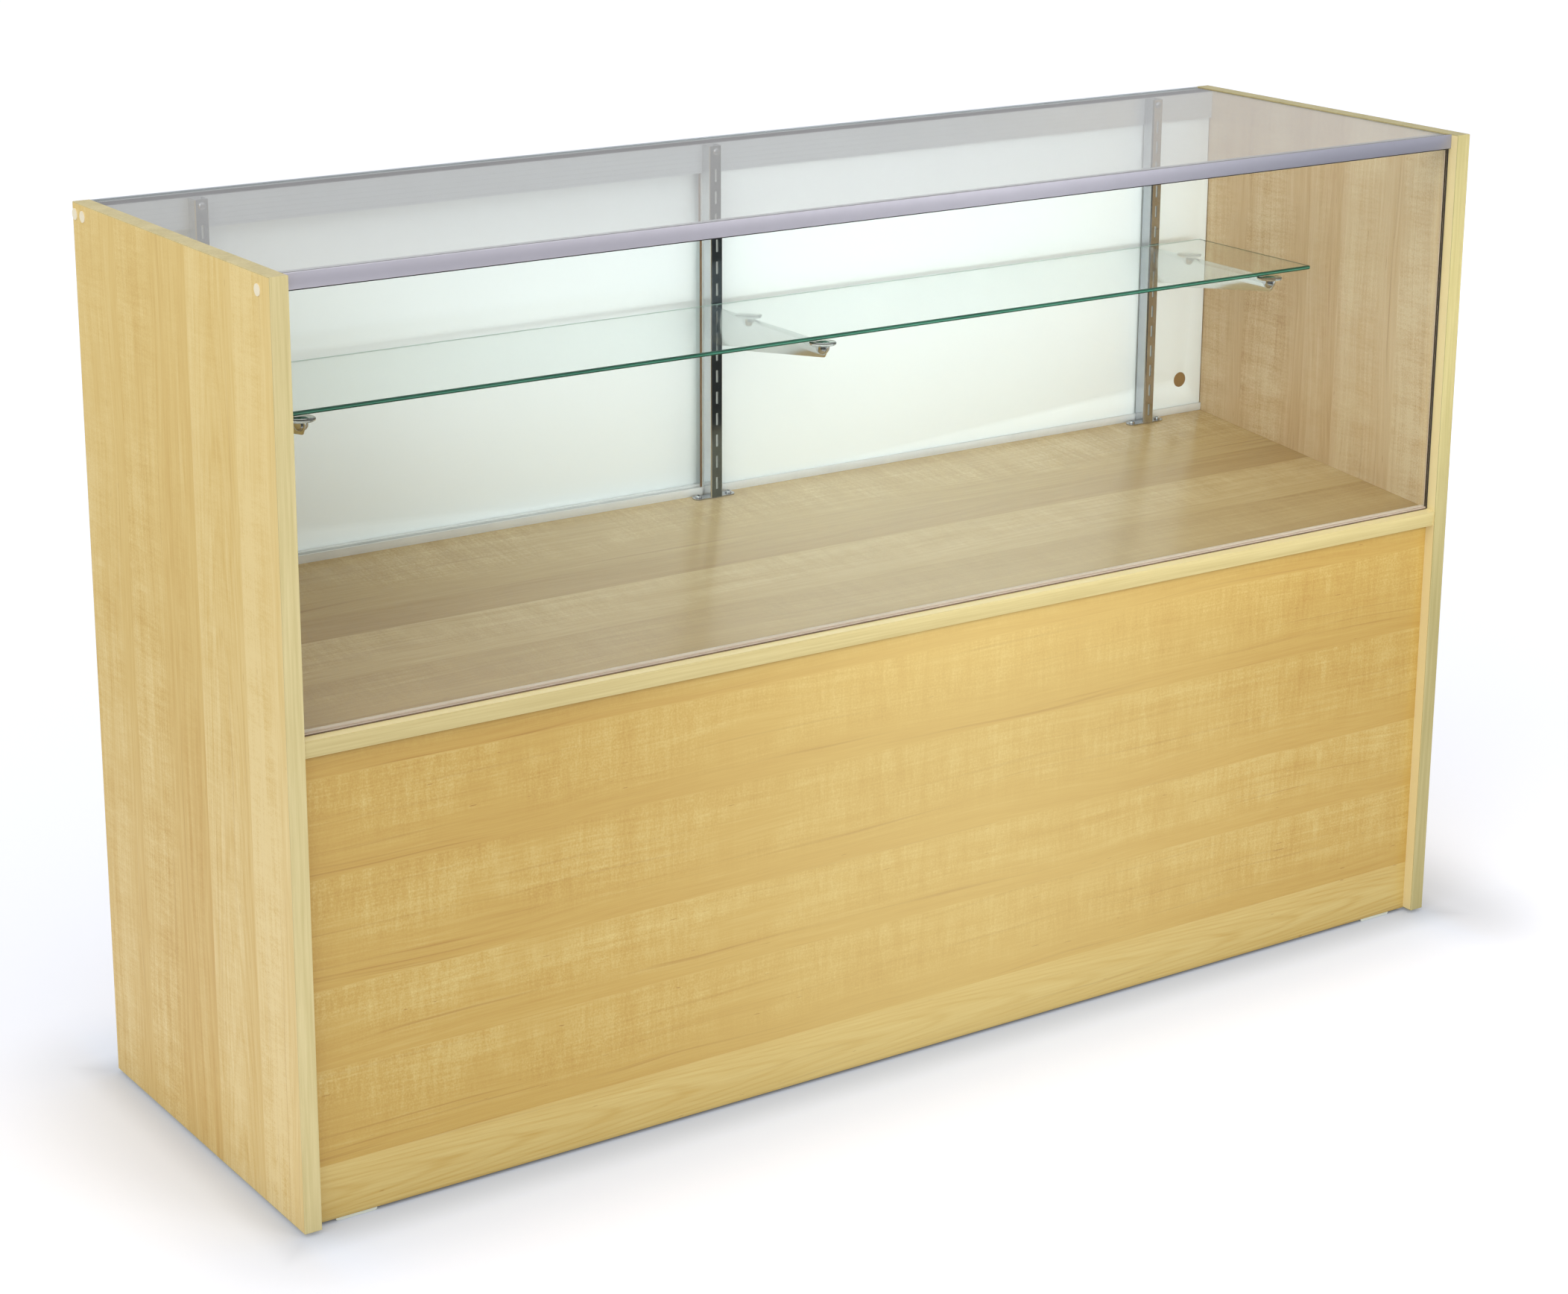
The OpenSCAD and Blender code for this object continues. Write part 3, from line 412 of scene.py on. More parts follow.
def chatter_net(tree, run, rise, strength):
    inside = calc(tree, "MULTIPLY", rise, 0.1)

    def printed(waves, start, detail, roughness=0.5):
        spot = add(tree, "CombineXYZ", {0: calc(tree, "MULTIPLY", run, waves[0]),
                                        1: calc(tree, "MULTIPLY", inside, waves[1]), 2: start})
        return noise(tree, spot.outputs[0], detail, roughness)

    mesh = sway(tree, 0.0, printed((46.0, 9.0), 2.0, 1.0), 0.46, 0.42)
    mesh = sway(tree, mesh, printed((230.0, 34.0), 6.0, 2.0, 0.6), 0.5, 0.55)
    mesh = sway(tree, mesh, printed((520.0, 420.0), 8.0, 1.0), 0.5, 0.60)
    patch = window(tree, printed((7.0, 14.0), 4.0, 2.0), 0.24, 0.52)
    upper = window(tree, rise, 0.06, 0.46)
    return mesh, calc(tree, "MULTIPLY", strength, calc(tree, "MULTIPLY", patch, upper))


print("chatter ready")

# %% [markdown]
# ## Maple print: the crown
#
# In one plank of the front and one of the left side the year rings close to an arch. A sine of a parabola
# draws them, and some noise makes the arches uneven.

# %% Crown rings
def crown_rings(tree, plank, wide, crown):
    centre_run, centre_wide, half = (v * mm for v in crown)
    off = calc(tree, "SUBTRACT", wide, centre_wide)
    arch = calc(tree, "MULTIPLY", calc(tree, "MULTIPLY", off, off), 30.0 / (half * half))
    arch = calc(tree, "MULTIPLY_ADD", calc(tree, "SUBTRACT", plank[0], centre_run), 60.0, arch)
    arch = calc(tree, "MULTIPLY_ADD", grain_layer(tree, plank, wide, (6.0, 30.0), 4.0, 3.0), 10.0, arch)
    rings = calc(tree, "POWER", calc(tree, "MULTIPLY_ADD", calc(tree, "SINE", arch), 0.5, 0.5), 4.0)
    inner = window(tree, calc(tree, "ABSOLUTE", off), half * 0.72, half * 1.05, 1.0, 0.0)
    return calc(tree, "MULTIPLY", rings, inner)


print("crown rings ready")

# %% [markdown]
# ## Maple print: the recipe
#
# All layers add up to one level, and the level picks a colour between dark and light. Threads and flecks
# are laid over it in brown. A board may be paler around one place, which is painted light, have a margin of
# another tone, used below for painted light and painted shade, or another colour on its outer face than
# inside the case, where the inside colours are painted shade.

# %% Maple recipe
def three_tones(tree, level, colours):
    dark, middle, light = (paint(c) for c in colours[:3])
    return stepped(tree, level, [(0.0, dark), (0.5, middle), (1.0, light)], smooth=True)


def maple_level(tree, plank, wide, tone, rise, strength, layers, crown, depth):
    broad, streaks, fibre = layers
    mesh, net = chatter_net(tree, plank[0], rise, strength)
    level = sway(tree, tone, broad, 0.5, 0.42 * depth)
    level = sway(tree, level, streaks, 0.5, 0.46 * depth)
    level = sway(tree, level, fibre, 0.5, 0.40 * depth)
    level = calc(tree, "MULTIPLY_ADD", mesh, net, level)
    level = calc(tree, "MULTIPLY_ADD", net, 0.03, level)
    lower = calc(tree, "MULTIPLY", window(tree, rise, 0.05, 0.55, 1.0, 0.0), window(tree, broad, 0.40, 0.62))
    level = calc(tree, "MULTIPLY_ADD", lower, -0.13, level)
    if crown:
        level = calc(tree, "MULTIPLY_ADD", crown_rings(tree, plank, wide, crown), -0.16, level)
    return level


def maple(name, along, across, planks, top, colours, crown=None, chatter=1.0, gloss=0.34, shift=0.0,
          margins=(), pale=None, outer=None, depth=1.0):
    finish, tree, shader = new_finish(name)
    place = add(tree, "SeparateXYZ", {0: object_spot(tree)}).outputs
    wide = place[across]
    tone, own_number, bars, rise = plank_map(tree, wide, planks, top)
    plank = calc(tree, "ADD", place[along], shift), own_number
    broad, streaks, fibre, thread, fleck = grain_layers(tree, plank, wide)
    strength = calc(tree, "MULTIPLY", bars, chatter)
    level = maple_level(tree, plank, wide, tone, rise, strength, (broad, streaks, fibre), crown, depth)
    wood = three_tones(tree, level, colours)
    if outer:
        face, face_colours = outer[0] * mm, outer[1]
        on_face = window(tree, place["X"], face - 0.6 * mm, face - 0.1 * mm)
        wood = blend(tree, on_face, wood, three_tones(tree, level, face_colours))
    brown = paint(colours[3])
    fine = calc(tree, "MULTIPLY", window(tree, thread, 0.60, 0.78), window(tree, rise, 0.0, 0.8, 0.5, 0.15))
    dash = calc(tree, "MULTIPLY", window(tree, fleck, 0.845, 0.90), 0.55)
    wood = blend(tree, dash, blend(tree, fine, wood, brown), brown)
    # A pale zone is painted light; margins lay painted light and painted shade along an edge.
    if pale:
        centre, reach, amount, colour = pale
        near = calc(tree, "ABSOLUTE", calc(tree, "SUBTRACT", place[along], centre * mm))
        wood = blend(tree, window(tree, near, reach * mm, 0.0, 0.0, amount), wood, paint(colour))
    for start, end, amount, colour in margins:
        wood = blend(tree, window(tree, wide, start * mm, end * mm, 0.0, amount), wood, paint(colour))
    coat(tree, shader, wood, calc(tree, "MULTIPLY_ADD", fibre, 0.14, gloss - 0.05))
    emboss(tree, shader, calc(tree, "MULTIPLY_ADD", dash, -0.6, fibre), 0.12)
    return finish


print("maple recipe ready")

# %% [markdown]
# ## Maple on each board
#
# The planks are read off the picture board by board, as a start in millimetres, a tone and a strength of
# chatter. The left end and the partition take the lighter, clearer yellow of the lit side, a painted light.
# The right end is seen from inside through the glass, and its inside is painted browner, a painted shade.
# The deck is glossier than the rest.

# %% Maple boards
def dress(finish, *names):
    for name in names:
        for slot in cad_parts[name].material_slots:
            slot.material = finish
    print(finish.name, "on", ", ".join(names))


margin_brown = "#85662a"
front_colours = ("#b28840", "#c2a156", "#d5bf7c", "#93642c")
front_planks = [(4, 0.80, 0.0), (63, 0.50, 1.0), (165, 0.51, 1.0),
                (251, 0.49, 1.0), (367, 0.46, 1.0), (470, 0.42, 0.5)]
# The top margin is painted shade under the deck's lip, the bottom margin darkens the panel towards its
# bottom edge, and the pale zone is a painted sheen across the middle.
maple_front = maple("maple_print_front", "X", "Z", front_planks, 500, front_colours, crown=(300, 33, 30),
                    margins=[(488.0, 497.0, 0.80, margin_brown), (8.0, 4.0, 0.35, margin_brown)],
                    pale=(60.0, 620.0, 0.27, "#ecd692"))
dress(maple_front, "front_panel", "rear_toe_rail")
# These colours are a lighter copy of the maple, painted light for the side that faces the light from the
# left.
lit_side_colours = ("#c89c4f", "#dcbc75", "#ecd498", "#b08242")
# A darker, browner copy of the maple for the inside of the right end, a painted shade.
shaded_inside_colours = ("#b59265", "#cdb086", "#ddc8a2", "#9c7148")
side_planks = [(-half_depth, 0.80, 1.0), (-143.6, 0.69, 0.6), (-42.6, 0.44, 0.4),
               (13.4, 0.47, 1.0), (125.4, 0.54, 0.8)]
# The pale zone makes the left end lighter towards the top, a painted light.
maple_left = maple("maple_print_left", "Z", "Y", side_planks, half_depth, lit_side_colours, crown=(430, -93, 50),
                   chatter=1.3, pale=(980.0, 900.0, 0.36, "#fde294"), depth=1.8)
# The right end's inside takes the painted shade colours, its part in front of the glass is painted lighter
# by the margin, a painted light, and its outer face keeps the lit colours.
maple_right = maple("maple_print_right", "Z", "Y", side_planks, half_depth, shaded_inside_colours,
                    chatter=1.5, shift=0.61, margins=[(-213.6, -214.6, 1.0, "#e9d7a0")],
                    outer=(half_width, lit_side_colours), depth=1.5)
dress(maple_left, "left_end_panel", "centre_partition")
dress(maple_right, "right_end_panel")
deck_colours = ("#a0804f", "#b49864", "#cdb586", "#8a6541")
deck_planks = [(-half_depth, 0.32, 0.5), (-104.6, 0.62, 0.6), (-5.6, 0.24, 0.2), (49.4, 0.48, 1.0)]
# The margin paints the deck's lip in front of the glass lighter, a painted light, and the pale zone is a
# painted highlight across the middle of the deck.
maple_deck = maple("maple_print_deck", "X", "Y", deck_planks, half_depth, deck_colours,
                   chatter=1.4, gloss=0.20, margins=[(-214.5, -214.7, 1.0, "#ead9a2")],
                   pale=(120.0, 760.0, 0.34, "#ead9b4"), depth=1.3)
dress(maple_deck, "deck_panel", "bottom_panel")

# %% [markdown]
# ## Edge strips
#
# The cut edges of the boards carry a thin plastic strip, printed with fine lines only and a little greyer
# than the boards. Its long corners are scraped round after gluing, and they catch a thin line of light.

# %% Edge strip finish
def strip_finish(name, grain, colours):
    finish, tree, shader = new_finish(name)
    spot = object_spot(tree)
    lines = stretched(tree, spot, grain, 3.0, 0.6)
    slow = stretched(tree, spot, [g * 0.12 for g in grain])
    level = calc(tree, "MULTIPLY_ADD", lines, 0.7, calc(tree, "MULTIPLY", slow, 0.5))
    dark, light = (paint(c) for c in colours)
    wood = stepped(tree, level, [(0.30, dark), (0.85, light)], smooth=True)
    coat(tree, shader, wood, calc(tree, "MULTIPLY_ADD", lines, 0.15, 0.34))
    emboss(tree, shader, lines, 0.12)
    return finish


grain_up, grain_level = (260.0, 420.0, 7.0), (7.0, 420.0, 420.0)
strip_upright = strip_finish("edge_strip_upright", grain_up, ("#bbab6e", "#dfd09c"))
# The right end's strip is a darker copy of the same strip, a painted shade for the end away from the light.
shaded_strip_right = strip_finish("edge_strip_right_shaded", grain_up, ("#a5985f", "#c6ba86"))
strip_level = strip_finish("edge_strip_level", grain_level, ("#b8a56a", "#d3c48c"))
print("edge strips made")

# %% [markdown]
# ## Soft corners
#
# A sharp corner in a drawing has no width, so it never shines. A copy of the drawn part is merged into
# one skin, its flat triangles are joined, and a small bevel runs along every corner. The copy then stands
# for the drawn part.

# %% Softening helper
def nothing_selected():
    if bpy.context.object and bpy.context.object.mode != "OBJECT":
        bpy.ops.object.mode_set(mode="OBJECT")
    bpy.ops.object.select_all(action="DESELECT")


def soften(node, name, finish, body="case", width=0.5, steps=2, angle=30):
    nothing_selected()
    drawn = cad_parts[node]
    piece = bpy.data.objects.new(name, drawn.data.copy())
    bpy.context.scene.collection.objects.link(piece)
    bpy.context.view_layer.objects.active = piece
    piece.select_set(True)
    bpy.ops.object.mode_set(mode="EDIT")
    bpy.ops.mesh.select_all(action="SELECT")
    bpy.ops.mesh.remove_doubles(threshold=0.000004)
    bpy.ops.mesh.tris_convert_to_quads(face_threshold=math.radians(0.5), shape_threshold=math.radians(180))
    bpy.ops.object.mode_set(mode="OBJECT")
    bpy.ops.object.shade_smooth()
    bevel = piece.modifiers.new("soft_corner", "BEVEL")
    bevel.width = width * mm
    bevel.segments = steps
    bevel.limit_method = "ANGLE"
    bevel.angle_limit = math.radians(angle)
    bevel.harden_normals = True
    bpy.ops.object.modifier_apply(modifier="soft_corner")
    piece.data.materials.clear()
    piece.data.materials.append(finish)
    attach(piece, body)
    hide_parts(node)
    print(name, len(piece.data.polygons), "faces")


soften("deck_edging", "deck_edge_strip", strip_level, width=0.4)

# %% [markdown]
# ## The strip round an end panel
#
# Four strips meet at the corners of each end panel. A box of the panel's size loses its two big sides,
# which leaves a sleeve, and the sleeve gets the strip's thickness inwards. Only its outer corners are
# rounded, so that the strip stays tight on the board.

# %% Strips of the end panels
def plain_box(name, low, high):
    nothing_selected()
    bpy.ops.mesh.primitive_cube_add(size=1, location=(low + high) / 2)
    piece = bpy.context.object
    piece.name = name
    piece.dimensions = high - low
    bpy.ops.object.transform_apply(location=True, rotation=True, scale=True)
    return piece


def pick(piece, kind, wanted):
    if piece.mode != "OBJECT":
        bpy.ops.object.mode_set(mode="OBJECT")
    bpy.context.tool_settings.mesh_select_mode = (False, kind == "EDGE", kind == "FACE")
    for part in (*piece.data.vertices, *piece.data.edges, *piece.data.polygons):
        part.select = False
    chosen = [part for part in (piece.data.polygons if kind == "FACE" else piece.data.edges) if wanted(part)]
    for part in chosen:
        part.select = True
        for corner in part.vertices:
            piece.data.vertices[corner].select = True
    bpy.ops.object.mode_set(mode="EDIT")


def panel_strip(side, finish, thick=1.0, round_by=0.7):
    low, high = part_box(f"{side}_panel_edging")
    piece = plain_box(f"{side}_edge_strip", low, high)
    pick(piece, "FACE", lambda face: abs(face.normal.x) > 0.9)
    bpy.ops.mesh.delete(type="ONLY_FACE")
    bpy.ops.object.mode_set(mode="OBJECT")
    wall = piece.modifiers.new("thickness", "SOLIDIFY")
    wall.thickness = thick * mm
    wall.offset = -1
    wall.use_even_offset = True
    bpy.ops.object.modifier_apply(modifier="thickness")
    points = piece.data.vertices

    def on_outside(point):
        gaps = (point.y - low.y, point.y - high.y, point.z - low.z, point.z - high.z)
        return min(abs(gap) for gap in gaps) < 1e-5

    bpy.ops.object.shade_smooth()
    pick(piece, "EDGE", lambda edge: all(on_outside(points[v].co) for v in edge.vertices))
    bpy.ops.mesh.bevel(offset=round_by * mm, segments=3, affect="EDGES", harden_normals=True)
    bpy.ops.object.mode_set(mode="OBJECT")
    piece.data.materials.append(finish)
    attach(piece, "case")
    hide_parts(f"{side}_panel_edging")
    print(piece.name, len(piece.data.polygons), "faces")


panel_strip("left", strip_upright)
panel_strip("right", shaded_strip_right)

# %% [markdown]
# ## Aluminium, chrome and zinc
#
# The rails are drawn aluminium, brushed along their length and anodised. Fine lines along the rail
# stretch the highlights, and the anodic layer gives a faint lavender grey. Chrome is smooth, and zinc is
# dull and mottled.

# %% Metal helper
def metal(name, colour, rough, grain=(90.0, 90.0, 90.0), relief=0.04, spread=0.10, metallic=1.0, front=None,
          dark_reflection_end=None):
    finish, tree, shader = new_finish(name)
    shader.inputs["Metallic"].default_value = metallic
    spot = object_spot(tree)
    lines = stretched(tree, spot, grain, 3.0, 0.6)
    smudge = stretched(tree, spot, (31.0, 27.0, 35.0), 3.0)
    base = paint(colour)
    smudged = tuple(c * 0.88 for c in base[:3]) + (1.0,)
    plate = blend(tree, smudge, base, smudged)
    # A darker tone towards the +X end is a painted reflection.
    if dark_reflection_end:
        at_x = add(tree, "SeparateXYZ", {0: spot}).outputs["X"]
        plate = blend(tree, window(tree, at_x, 0.05, 0.62), plate, paint(dark_reflection_end))
    if front:
        facing = add(tree, "SeparateXYZ", {0: add(tree, "TexCoord").outputs["Normal"]}).outputs["Y"]
        plate = blend(tree, window(tree, facing, -0.80, -0.97), plate, paint(front))
    rough_here = calc(tree, "MULTIPLY_ADD", smudge, spread, rough - spread / 2)
    coat(tree, shader, plate, calc(tree, "MULTIPLY_ADD", lines, spread / 2, rough_here))
    emboss(tree, shader, lines, relief, 0.0001)
    return finish


brushed = {"grain": (9.0, 1400.0, 1400.0), "relief": 0.10}
mirror = {"spread": 0.05, "relief": 0.01}
satin = metal("brushed_aluminium", "#e6ebf0", 0.34, metallic=0.55, **brushed)
# The front rail turns darker towards its right end, a painted reflection.
front_satin = metal("front_rail_aluminium", "#dad7e2", 0.32, metallic=0.55, dark_reflection_end="#a2a2af", **brushed)
bright_satin = metal("track_aluminium", "#e9ebe9", 0.40, metallic=0.30, **brushed)
chrome = metal("bright_chrome", "#c9cbcf", 0.06, **mirror)
standard_chrome = metal("standard_chrome", "#dcdee0", 0.06, front="#737d82", **mirror)
bracket_chrome = metal("plated_bracket", "#e6e8e7", 0.16, spread=0.08, relief=0.02)
zinc = metal("zinc_plate", "#b9b39d", 0.38, (240.0, 240.0, 240.0), relief=0.08)
print("metals made")

# %% [markdown]
# ## Metal parts
#
# The front rail, the track and the brackets show their corners, so they are made again with soft ones.
# The middle standard mirrors a dark part of the studio that this room lacks, so its front gets a grey
# tint. The outer two mirror the maple beside them.

# %% Metal parts
soften("front_top_rail", "front_rail", front_satin, width=0.5)
soften("lower_door_track", "door_track", bright_satin, width=0.15, steps=1)
dress(satin, "rear_top_rail")
for side in standard_x:
    soften(f"{side}_bracket", f"{side}_knife_bracket", bracket_chrome, width=0.3, steps=1)
dress(standard_chrome, "centre_standard")
dress(chrome, "left_standard", "right_standard", "clip_screws", "standard_top_screws")
dress(chrome, *[f"{side}_standard_clip" for side in standard_x])
dress(chrome, *[f"{side}_{end}_rest" for side in standard_x for end in ("front", "rear")])
dress(zinc, "glide_nails", "track_screws", "rail_screws", "cam_bolts", "cam_discs")

# %% [markdown]
# ## Glass
#
# The faces of the panes are clear with a slight green, and their edges look deep green because light has
# to travel through a lot of glass to reach them. Lamps and matt surfaces see straight through the faces,
# so the goods behind are lit.

# %% Glass finishes
def clear_glass(name, tint, bending=1.5):
    finish, tree, shader = new_finish(name)
    shader.inputs["Transmission Weight"].default_value = 1.0
    shader.inputs["IOR"].default_value = bending
    film = stretched(tree, object_spot(tree), (5.0,) * 3, 4.0)
    coat(tree, shader, tint, window(tree, film, 0.45, 0.75, 0.0, 0.012))
    ray = add(tree, "LightPath")
    through = calc(tree, "MAXIMUM", ray.outputs["Is Shadow Ray"], ray.outputs["Is Diffuse Ray"])
    open_air = add(tree, "BsdfTransparent", {0: (0.985, 0.995, 0.99, 1)})
    mixed = add(tree, "MixShader", {0: through, 1: shader.outputs[0], 2: open_air.outputs[0]})
    tree.links.new(mixed.outputs[0], tree.nodes["Material Output"].inputs[0])
    return finish


def glass_edge(name, deep, bright):
    finish, tree, shader = new_finish(name)
    shader.inputs["IOR"].default_value = 1.5
    along = stretched(tree, object_spot(tree), (14.0, 14.0, 60.0), 3.0)
    tone = blend(tree, along, paint(deep), paint(bright))
    coat(tree, shader, tone, window(tree, along, 0.3, 0.7, 0.06, 0.18))
    return finish


glass_face = clear_glass("clear_glass", (0.965, 0.99, 0.978, 1))
shelf_face = clear_glass("shelf_glass", (0.955, 0.988, 0.972, 1))
top_face = clear_glass("top_glass", (0.935, 0.95, 0.95, 1))
green_edge = glass_edge("green_glass_edge", "#0a3325", "#1d5a44")
grey_edge = glass_edge("grey_glass_edge", "#56615f", "#8b9694")
# The pale rear edge is painted light, and the brighter core is a painted highlight on the shelf's narrow
# flat.
light_rear_edge = glass_edge("light_rear_glass_edge", "#9dbbae", "#c4d6ce")
highlight_core_edge = glass_edge("highlight_glass_edge", "#35755f", "#5f9a85")
foot_edge = glass_edge("foot_glass_edge", "#b5a18f", "#cfbdab")
print("glass made")

# %% [markdown]
# ## Panes
#
# A pane is a flat slab whose corners are ground to a small polished arris. The arris of the shelf is wide
# and deep green, the narrow flat between its arrises is brighter, a painted highlight, and the rear edge is
# paler, a painted light.

# %% Panes
def by_thickness(thin_axis):
    return lambda polygon: 0 if abs(polygon.normal[thin_axis]) > 0.99 else 1


def shelf_faces(polygon):
    if abs(polygon.normal.z) > 0.99:
        return 0
    if polygon.normal.y > 0.3:
        return 2
    return 3 if abs(polygon.normal.z) < 0.1 else 1


def pane(node, name, finishes, sort_faces, arris=0.6, steps=2):
    piece = plain_box(name, *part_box(node))
    bevel = piece.modifiers.new("arris", "BEVEL")
    bevel.width = arris * mm
    bevel.segments = steps
    bpy.ops.object.modifier_apply(modifier="arris")
    for finish in finishes:
        piece.data.materials.append(finish)
    for polygon in piece.data.polygons:
        polygon.material_index = sort_faces(polygon)
    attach(piece, "case")
    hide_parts(node)
    print(name, [round(v * 1000, 1) for v in piece.dimensions])


pane("glass_shelf", "shelf_pane", (shelf_face, green_edge, light_rear_edge, highlight_core_edge), shelf_faces, 1.85, 3)
pane("top_glass", "top_pane", (top_face, grey_edge), by_thickness(2), 0.5)
pane("front_glass", "front_pane", (glass_face, foot_edge), by_thickness(1))

# %% [markdown]
# ## Clear pads
#
# A soft clear disc on each rest keeps the glass shelf from slipping. It is nearly invisible apart from
# its rim, so the rim gets a generous round. One disc is modelled and copied to the other rests, and a
# hair of air is left above and below it: two clear faces in exactly the same place would confuse the
# light.

# %% Clear pads
pad_radius = 15 * mm
air = 0.05 * mm
rest_spacing = 146.0
nothing_selected()
pad_low, pad_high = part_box("shelf_rest_pads")
pad_place = (pad_low.x + pad_radius, pad_low.y + pad_radius, (pad_low.z + pad_high.z) / 2)
bpy.ops.mesh.primitive_cylinder_add(vertices=48, radius=pad_radius, depth=pad_high.z - pad_low.z - 2 * air,
                                    location=pad_place)
first_pad = bpy.context.object
bpy.ops.object.transform_apply(location=True, rotation=True, scale=True)
rim = first_pad.modifiers.new("round_rim", "BEVEL")
rim.width = 0.9 * mm
rim.segments = 3
rim.limit_method = "ANGLE"
rim.angle_limit = math.radians(40)
bpy.ops.object.modifier_apply(modifier="round_rim")
bpy.ops.object.shade_smooth_by_angle(angle=math.radians(40))
pads = [first_pad]
for x in standard_x.values():
    for y in (0.0, rest_spacing):
        over = x - standard_x["left"]
        if over or y:
            twin = bpy.data.objects.new("pad", first_pad.data.copy())
            bpy.context.scene.collection.objects.link(twin)
            twin.location = (over * mm, y * mm, 0)
            pads.append(twin)
for pad in pads:
    pad.select_set(True)
bpy.context.view_layer.objects.active = first_pad
bpy.ops.object.join()
first_pad.name = "clear_rest_pads"
first_pad.data.materials.clear()
first_pad.data.materials.append(clear_glass("clear_pad", (0.985, 0.99, 0.985, 1), 1.42))
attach(first_pad, "case")
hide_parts("shelf_rest_pads")
print("pads", [round(v * 1000, 2) for v in first_pad.dimensions])

# %% [markdown]
# ## Doors
#
# Each door is white enamelled hardboard. Its face is smooth with a faint orange-peel, and the cut edge
# shows the brown fibre. The finish picks white or brown from the way the surface faces.

# %% Doors
def door_board(name):
    finish, tree, shader = new_finish(name)
    coords = add(tree, "TexCoord")
    spot = coords.outputs["Object"]
    way = calc(tree, "ABSOLUTE", add(tree, "SeparateXYZ", {0: coords.outputs["Normal"]}).outputs["Y"])
    peel = stretched(tree, spot, (420.0,) * 3)
    cloud = stretched(tree, spot, (3.0,) * 3)
    fibre = stretched(tree, spot, (700.0, 2600.0, 700.0), 3.0)
    enamel = blend(tree, cloud, paint("#eff6f5"), paint("#f4f9f9"))
    cut = blend(tree, fibre, paint("#5d4630"), paint("#9b7a55"))
    face = window(tree, way, 0.55, 0.85)
    coat(tree, shader, blend(tree, face, cut, enamel), calc(tree, "MULTIPLY_ADD", face, -0.42, 0.80))
    emboss(tree, shader, peel, 0.05)
    return finish


hardboard = door_board("enamelled_hardboard")
for side in ("left", "right"):
    soften(f"{side}_door", f"{side}_door_board", hardboard, f"{side}_door_leaf", width=0.35)

# %% [markdown]
# ## Small plastics
#
# The finger cups, caps, glides, tapes and seals are moulded or extruded plastic. Each gets a fine grain
# in its roughness and a little mottling, because real plastic is never quite even. The beech dowels get
# the same.

# %% Plastics
def plastic(name, dark, light, rough, grain=700.0):
    finish, tree, shader = new_finish(name)
    spot = object_spot(tree)
    fine = stretched(tree, spot, (grain,) * 3)
    slow = stretched(tree, spot, (40.0,) * 3, 3.0)
    coat(tree, shader, blend(tree, slow, paint(dark), paint(light)),
         calc(tree, "MULTIPLY_ADD", fine, 0.16, rough - 0.08))
    emboss(tree, shader, fine, 0.06)
    return finish


brown_cup = plastic("cup_brown", "#80603a", "#967649", 0.42)
cream_cap = plastic("cap_cream", "#f3e7c4", "#faf1d6", 0.40)
pale_glide = plastic("glide_pale", "#d9dccb", "#e6e9da", 0.38)
black_rubber = plastic("black_rubber", "#1a1817", "#2b2827", 0.48)
grey_tape = plastic("grey_glazing_tape", "#4c4a50", "#65636a", 0.55)
beech = plastic("beech_wood", "#c9a272", "#dcbb8c", 0.62)
dress(brown_cup, "left_door_pull", "right_door_pull")
dress(cream_cap, "screw_cover_caps")
dress(pale_glide, "front_left_glide", "front_right_glide", "rear_left_glide", "rear_right_glide")
dress(black_rubber, "front_rail_gasket", "left_glass_seal", "right_glass_seal")
dress(grey_tape, "front_glazing_tape", "rear_glazing_tape")
dress(beech, "wood_dowels")

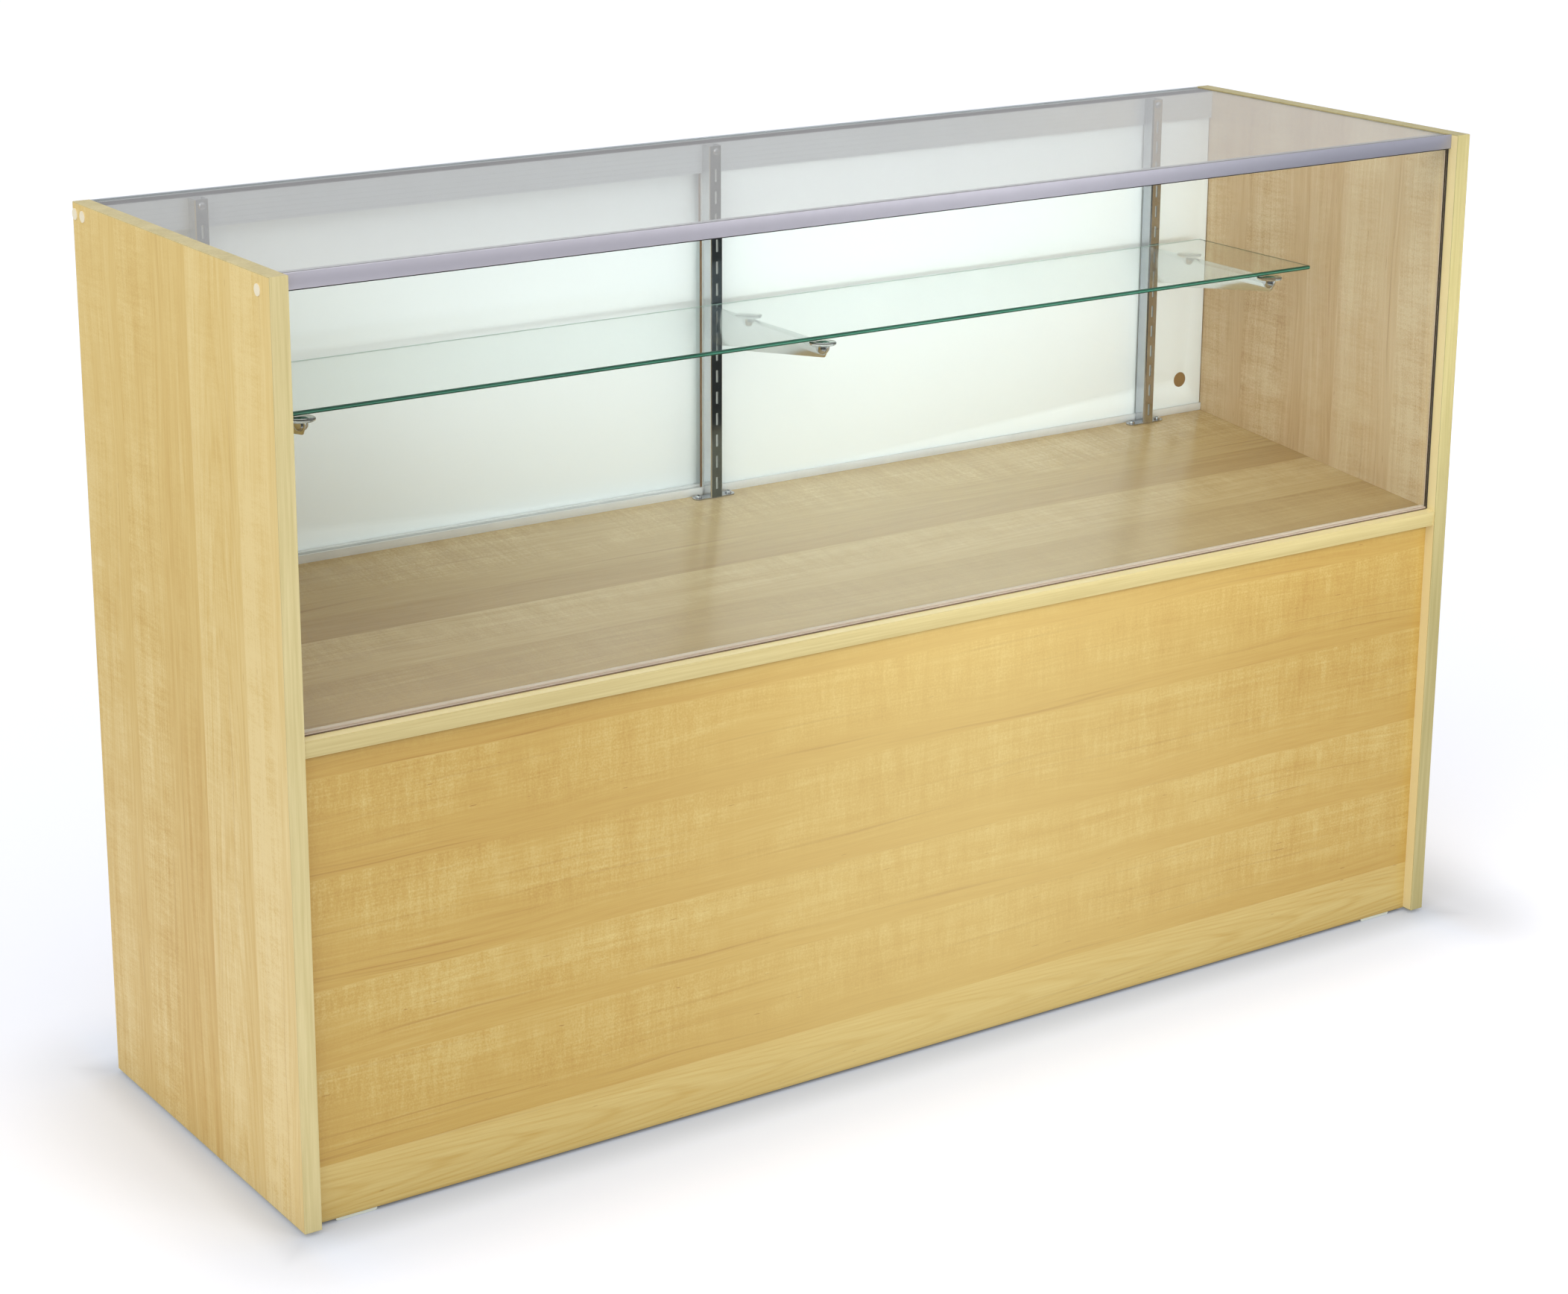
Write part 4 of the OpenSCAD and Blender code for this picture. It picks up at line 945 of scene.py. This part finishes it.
# %% [markdown]
# ## Beads beside the glass
#
# A black bead fills the gap between the front rail's lip and the top glass, and shows as a thin dark
# line. At the foot of the front glass a pale seal carries the pane, a pale bead runs behind it, and a thin
# dark bar in front of it is a painted shadow line in the joint. Pale sheets behind the slots of the
# standards, above and below the bracket's hooks, are painted light seen through the slots. Each one is a
# long bar with rounded corners.

# %% Beads
def bar(name, low, high, finish, slot_name, round_by, along=0, node=None):
    piece = plain_box(name, Vector(low) * mm, Vector(high) * mm)
    points = piece.data.vertices

    def runs_along(edge):
        start, end = (points[v].co for v in edge.vertices)
        return abs(start[along] - end[along]) > 0.1

    pick(piece, "EDGE", runs_along)
    bpy.ops.mesh.bevel(offset=round_by * mm, segments=3, affect="EDGES")
    bpy.ops.object.mode_set(mode="OBJECT")
    piece.data.materials.append(finish)
    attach(piece, "case")
    if node:
        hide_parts(node)
    print(name, [round(v * 1000, 2) for v in piece.dimensions])


foot_seal = plastic("foot_seal", "#c4b29e", "#d6c8b7", 0.40)
# The pale plastic of the slot sheets is painted light.
painted_light_sheet = plastic("painted_light_sheet", "#9a9c97", "#b4b6b0", 0.45)
# The dark, uneven finish of the joint at the glass foot is painted shadow.
painted_shadow_joint = plastic("painted_shadow_joint", "#3b2c22", "#8a7256", 0.70, grain=160.0)
bar("rail_bead", (-742.2, -216.9, 963.2), (742.2, -215.7, 964.7), black_rubber, "black_seal", 0.3)
bar("foot_shadow_line", (-740.0, -216.0, 515.1), (740.0, -214.5, 516.5), painted_shadow_joint, "black_seal", 0.3)
bar("sill_strip", (-740.7, -214.5, 515.5), (740.7, -208.7, 517.40), foot_seal, "black_seal", 0.3, 0,
    "glass_sill_seal")
bar("foot_bead", (-740.0, -208.5, 515.8), (740.0, -203.4, 519.2), foot_seal, "pale_plastic", 1.6)
# Pale sheets behind the slots stand in for the light seen through them, a painted light.
light_sheet_half, light_sheet_front, light_sheet_rear = 3.2, 183.3, 184.1
for side, x in standard_x.items():
    for part, low, high in (("lower", 557.0, 728.0), ("upper", 776.0, 938.0)):
        corners = (x - light_sheet_half, light_sheet_front, low), (x + light_sheet_half, light_sheet_rear, high)
        bar(f"{side}_{part}_slot_light_sheet", *corners, painted_light_sheet, "pale_plastic", 0.2, 2)
